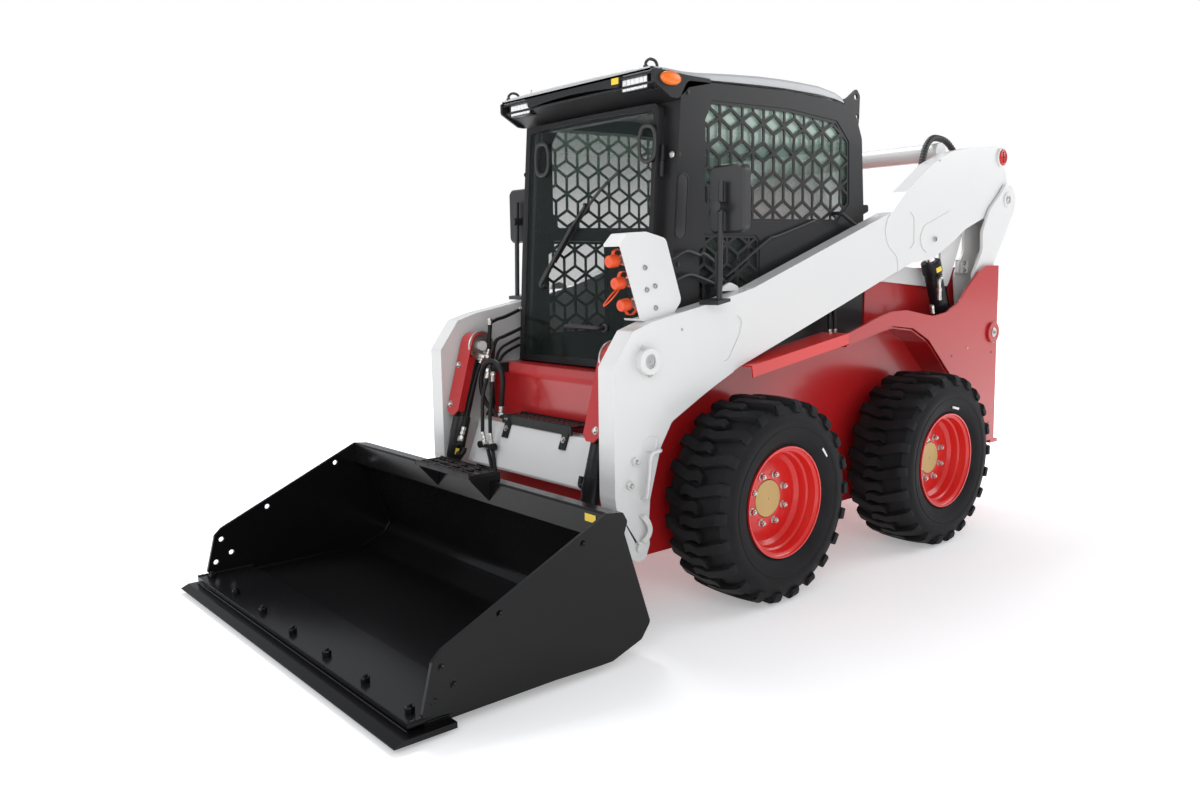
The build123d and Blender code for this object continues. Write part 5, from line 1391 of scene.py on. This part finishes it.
finish_mesh("lift_elbows", zinc_bits, ZINC, "lift_barrels", angle=35)
for side in (1, -1):
    centre = pin_at(LIFT_BASE, side * LIFT_Y) + lift_axis * (lift_length - 0.12 - 0.036)
    v = Vector((0.30, side * 0.95, 0)).normalized()
    u = lift_axis.cross(v).normalized()
    w = lift_axis
    v = u.cross(w) if u.cross(w).y * side > 0 else -u.cross(w)
    c = centre + v * 0.0487
    corners = [c - u * 0.017 - w * 0.012, c + u * 0.017 - w * 0.012, c + u * 0.017 + w * 0.012,
               c - u * 0.017 + w * 0.012]
    if (corners[1] - corners[0]).cross(corners[3] - corners[0]).dot(v) < 0:
        corners.reverse()
    label("lift_label_" + (dict(SIDES)[side]), corners, "lift_barrels")

# Rear links: pin washers, the boxed bracket and its bolts
white_bits, zinc_bits = bmesh.new(), bmesh.new()
for side in (1, -1):
    out = Vector((0, side, 0))
    place = facing(P(-1507, side * 644, 1652), out)
    collar(white_bits, place, 0.038, 0.0235, 0.008, 0.0015)
    turned(zinc_bits, [(0, 0), (0.0232, 0), (0.0232, 0.010), (0.021, 0.0115), (0.0095, 0.0115),
                       (0.0085, 0.006),
                       (0, 0.006)], place, 32)
    for x0, x1 in ((-1285, -1279), (-1186, -1180)):
        cuboid(white_bits, x0, x1, *sorted((side * 545, side * 560)), 1268, 1338)
    for z0, z1 in ((1268, 1273), (1333, 1338)):
        cuboid(white_bits, -1285, -1180, *sorted((side * 545, side * 560)), z0, z1)
    cuboid(white_bits, -1285, -1232, *sorted((side * 545, side * 548)), 1268, 1338)
    for x, z in ((-1262, 1321), (-1262, 1285)):
        hex_bolt(zinc_bits, P(x, side * 548, z), out, 0.016, 0.007, 0.012, spin=z)
finish_mesh("link_brackets", white_bits, WHITE, "rear_links", bevel=0.0008, angle=35)
finish_mesh("link_bolts", zinc_bits, ZINC, "rear_links", angle=28)

# Towers: pivot pads with their bolts, plugged holes and a small stud
red_bits, zinc_bits, dark_bits = bmesh.new(), bmesh.new(), bmesh.new()
for side in (1, -1):
    out = Vector((0, side, 0))
    pad = facing(P(-1360, side * 667.5, 957), out)
    turned(red_bits, [(0, 0), (0.056, 0), (0.056, 0.010), (0.053, 0.0135), (0.036, 0.0135), (0.034, 0.012),
                      (0, 0.012)],
           pad, 48)
    turned(zinc_bits, [(0, 0.011), (0.024, 0.011), (0.024, 0.0145), (0.022, 0.016), (0.012, 0.016),
                       (0.011, 0.0205),
                       (0.009, 0.022), (0.0055, 0.022), (0.005, 0.016), (0, 0.016)], pad, 28)
    for x, z in ((-960, 857), (-1361, 851), (-1362, 471)):
        disc(dark_bits, 0.0065, -0.001, 0.0008, facing(P(x, side * TOWER_FACE, z), out), 18)
    stud(zinc_bits, 0.006, -0.001, 0.0012, 0.004, 0.002, facing(P(-1114, side * TOWER_FACE, 888), out), 16)
finish_mesh("tower_pads", red_bits, RED, "chassis", angle=35)
finish_mesh("tower_bolts", zinc_bits, ZINC, "chassis", angle=28)
finish_mesh("tower_holes", dark_bits, PLASTIC, "chassis", angle=28)

# The bucket: edge bolts, weld beads, step teeth and its label
bm = bmesh.new()
for i in range(7):
    place = facing(P(2254, -828 + 276 * i, 54), (0, 0, 1))
    disc(bm, 0.0145, 0, 0.003, place, 20)
    stud(bm, 0.0155, 0.003, 0.016, 0.0135, 0.019, place @ Matrix.Rotation(0.4 * i, 4, "Z"), 6)
    stud(bm, 0.0078, 0.019, 0.025, 0.0062, 0.027, place, 14)
finish_mesh("edge_bolts", bm, BUCKET_BLACK, "bucket", angle=28)


def weld(bm, a, b, radius, step=0.006):
    """A bead of overlapping ripples from one point to another."""
    count = max(3, int((b - a).length / step))
    path = [a.lerp(b, i / count) for i in range(count + 1)]
    axis = (b - a).normalized()
    side = axis.orthogonal().normalized()
    other = axis.cross(side)
    rings = []
    for i, p in enumerate(path):
        r = radius * (1.0 + 0.12 * math.sin(i * 2.2) + 0.05 * math.sin(i * 0.71))
        rings.append(round_ring(p, side, other, r, 6))
    loft(bm, rings)


bm = bmesh.new()
for side in (1, -1):
    y = side * 886
    for a, b in (((2235, 37), (1540, 37)), ((1540, 37), (1420, 86)), ((1420, 86), (1392, 128)),
                 ((1392, 128), (1500, 430))):
        weld(bm, P(a[0], y, a[1]), P(b[0], y, b[1]), 0.0042)
    weld(bm, P(2060, side * 886, 54), P(2294, side * 886, 54), 0.005)
weld(bm, P(2061, -884, 40), P(2061, 884, 40), 0.006)
weld(bm, P(2294, -884, 26), P(2294, 884, 26), 0.005)
for side in (1, -1):
    weld(bm, P(1508, 37 + side * 185, 430), P(1512, 37 + side * 185, 520), 0.003)
finish_mesh("bucket_welds", bm, BUCKET_BLACK, "bucket", angle=80)
bm = bmesh.new()
cuboid(bm, 1532, 1538, -160, 232, 550, 566)
cuboid(bm, 1644, 1650, -160, 232, 550, 566)
for y in (-160, -64, 34, 132, 228):
    cuboid(bm, 1532, 1650, y, y + 6, 552, 566)
for z in (1568, 1606):
    cuboid(bm, z, z + 7, -158, 230, 558, 565)
for y in (-152, 218):
    side_plate(bm, [(1505, 560), (1644, 560), (1636, 540), (1530, 425), (1505, 425)], y, y + 8,
               [0, 4, 10, 20, 4])
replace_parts(finish_mesh("bucket_step_grate", bm, BLACK, "bucket", bevel=0.0008, angle=35), "bucket_step")
teeth("bucket_step_teeth", 1532, 1650, -156, 228, 566, "bucket", BLACK)


def slim_arm(node):
    """The arm with the front edge of its leg drawn back to an upright line."""
    source = NODES[node]
    mesh = source.data.copy()
    place = source.matrix_world.copy()
    back = place.inverted()
    line = [(250, 1215, 0), (470, 1345, 63), (620, 1335, 53), (963, 1282, 0)]
    for v in mesh.vertices:
        w = place @ v.co
        x, z = (w.x - OX) * 1000, (w.z - OZ) * 1000
        for (z0, edge0, move0), (z1, edge1, move1) in zip(line, line[1:]):
            if z0 <= z <= z1:
                t = (z - z0) / (z1 - z0)
                if x > edge0 + (edge1 - edge0) * t - 60:
                    w.x -= (move0 + (move1 - move0) * t) / 1000
                    v.co = back @ w
                break
    piece = bpy.data.objects.new(node + "_slim", mesh)
    bpy.context.scene.collection.objects.link(piece)
    piece.matrix_world = place
    mesh.materials.clear()
    mesh.materials.append(WHITE)
    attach(piece, "arms")
    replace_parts(piece, node)


for side in (1, -1):
    for name, marks in (("front", ((590, 390), (554, 358))), ("rear", ((641, -661), (653, -610)))):
        bm = bmesh.new()
        (z0, x0), (z1, x1) = marks
        run = Vector((x1 - x0, z1 - z0)).normalized()
        across = Vector((-run.y, run.x)) * 5
        ring = [(x0 + across.x, z0 + across.y), (x1 + across.x, z1 + across.y),
                (x1 - across.x, z1 - across.y),
                (x0 - across.x, z0 - across.y)]
        loft(bm, [[P(x, side * y, z) for x, z in ring] for y in (878, 884)])
        finish_mesh(f"tyre_tick_{name}_{dict(SIDES)[side]}", bm, WHITE,
                    f"wheel_{name}_{dict(SIDES)[side]}")
slim_arm("arm_left")
slim_arm("arm_right")
label("bucket_label", [P(1556, 790, 489), P(1556, 790, 515), P(1556.3, 846, 515), P(1556.3, 846, 489)][::-1],
      "bucket")


# Light and floor

def area_light(name, place, target, size, power, color=(1, 1, 1)):
    data = bpy.data.lights.new(name, "AREA")
    data.shape = "RECTANGLE"
    data.size, data.size_y = size
    data.energy = power
    data.color = color
    lamp = bpy.data.objects.new(name, data)
    lamp.location = place
    lamp.rotation_euler = (Vector(target) - Vector(place)).to_track_quat("-Z", "Y").to_euler()
    bpy.context.scene.collection.objects.link(lamp)


area_light("key", (-0.6, -2.6, 6.3), (0, 0, 0.8), (3.2, 2.6), 250)
area_light("fill", (5.0, 5.5, 4.2), (0, 0, 0.8), (5, 4), 150)
area_light("front", (6.5, -2.5, 3.5), (0.6, 0, 0.8), (4, 4), 90)
area_light("horizon", (-5.2, -4.6, 2.3), (0.8, 0, 0.5), (5, 3), 170)
area_light("back", (-5.5, 3.5, 4.0), (-0.6, 0, 0.9), (4, 3), 110)

world = bpy.data.worlds.new("studio")
bpy.context.scene.world = world
world.use_nodes = True
wn, wl = world.node_tree.nodes, world.node_tree.links
wn.clear()
out = wn.new("ShaderNodeOutputWorld")
soft = wn.new("ShaderNodeBackground")
soft.inputs["Color"].default_value = (0.93, 0.95, 1.0, 1)
soft.inputs["Strength"].default_value = 0.5
white = wn.new("ShaderNodeBackground")
white.inputs["Color"].default_value = (1, 1, 1, 1)
white.inputs["Strength"].default_value = 1.0
path = wn.new("ShaderNodeLightPath")
most = wn.new("ShaderNodeMath")
most.operation = "MAXIMUM"
wl.new(path.outputs["Is Camera Ray"], most.inputs[0])
wl.new(path.outputs["Is Transmission Ray"], most.inputs[1])
mix = wn.new("ShaderNodeMixShader")
wl.new(most.outputs[0], mix.inputs[0])
wl.new(soft.outputs[0], mix.inputs[1])
wl.new(white.outputs[0], mix.inputs[2])
wl.new(mix.outputs[0], out.inputs[0])

bpy.ops.mesh.primitive_plane_add(size=60, location=(0, 0, 0))
floor = bpy.context.object
floor.name = "floor"
floor_mat, fn, fl, fs = new_material("studio_floor")
grain = noise(fn, fl, 0.4, 2)
tone = ramp(fn, fl, grain.outputs["Fac"], [(0.3, (0.9, 0.9, 0.9)), (0.7, (0.92, 0.92, 0.92))])
fl.new(tone.outputs["Color"], fs.inputs["Base Color"])
fs.inputs["Roughness"].default_value = 0.9
fs.inputs["Emission Color"].default_value = (1, 1, 1, 1)
far = fn.new("ShaderNodeTexCoord")
reach = fn.new("ShaderNodeVectorMath")
reach.operation = "LENGTH"
fl.new(far.outputs["Object"], reach.inputs[0])
rise = fn.new("ShaderNodeMapRange")
rise.inputs["From Min"].default_value = 2.2
rise.inputs["From Max"].default_value = 5.5
rise.inputs["To Min"].default_value = 0.3
rise.inputs["To Max"].default_value = 1.0
fl.new(reach.outputs["Value"], rise.inputs["Value"])
fl.new(rise.outputs["Result"], fs.inputs["Emission Strength"])
fs.inputs["Specular IOR Level"].default_value = 0.1
floor.data.materials.append(floor_mat)

bpy.context.scene.view_settings.view_transform = "Standard"
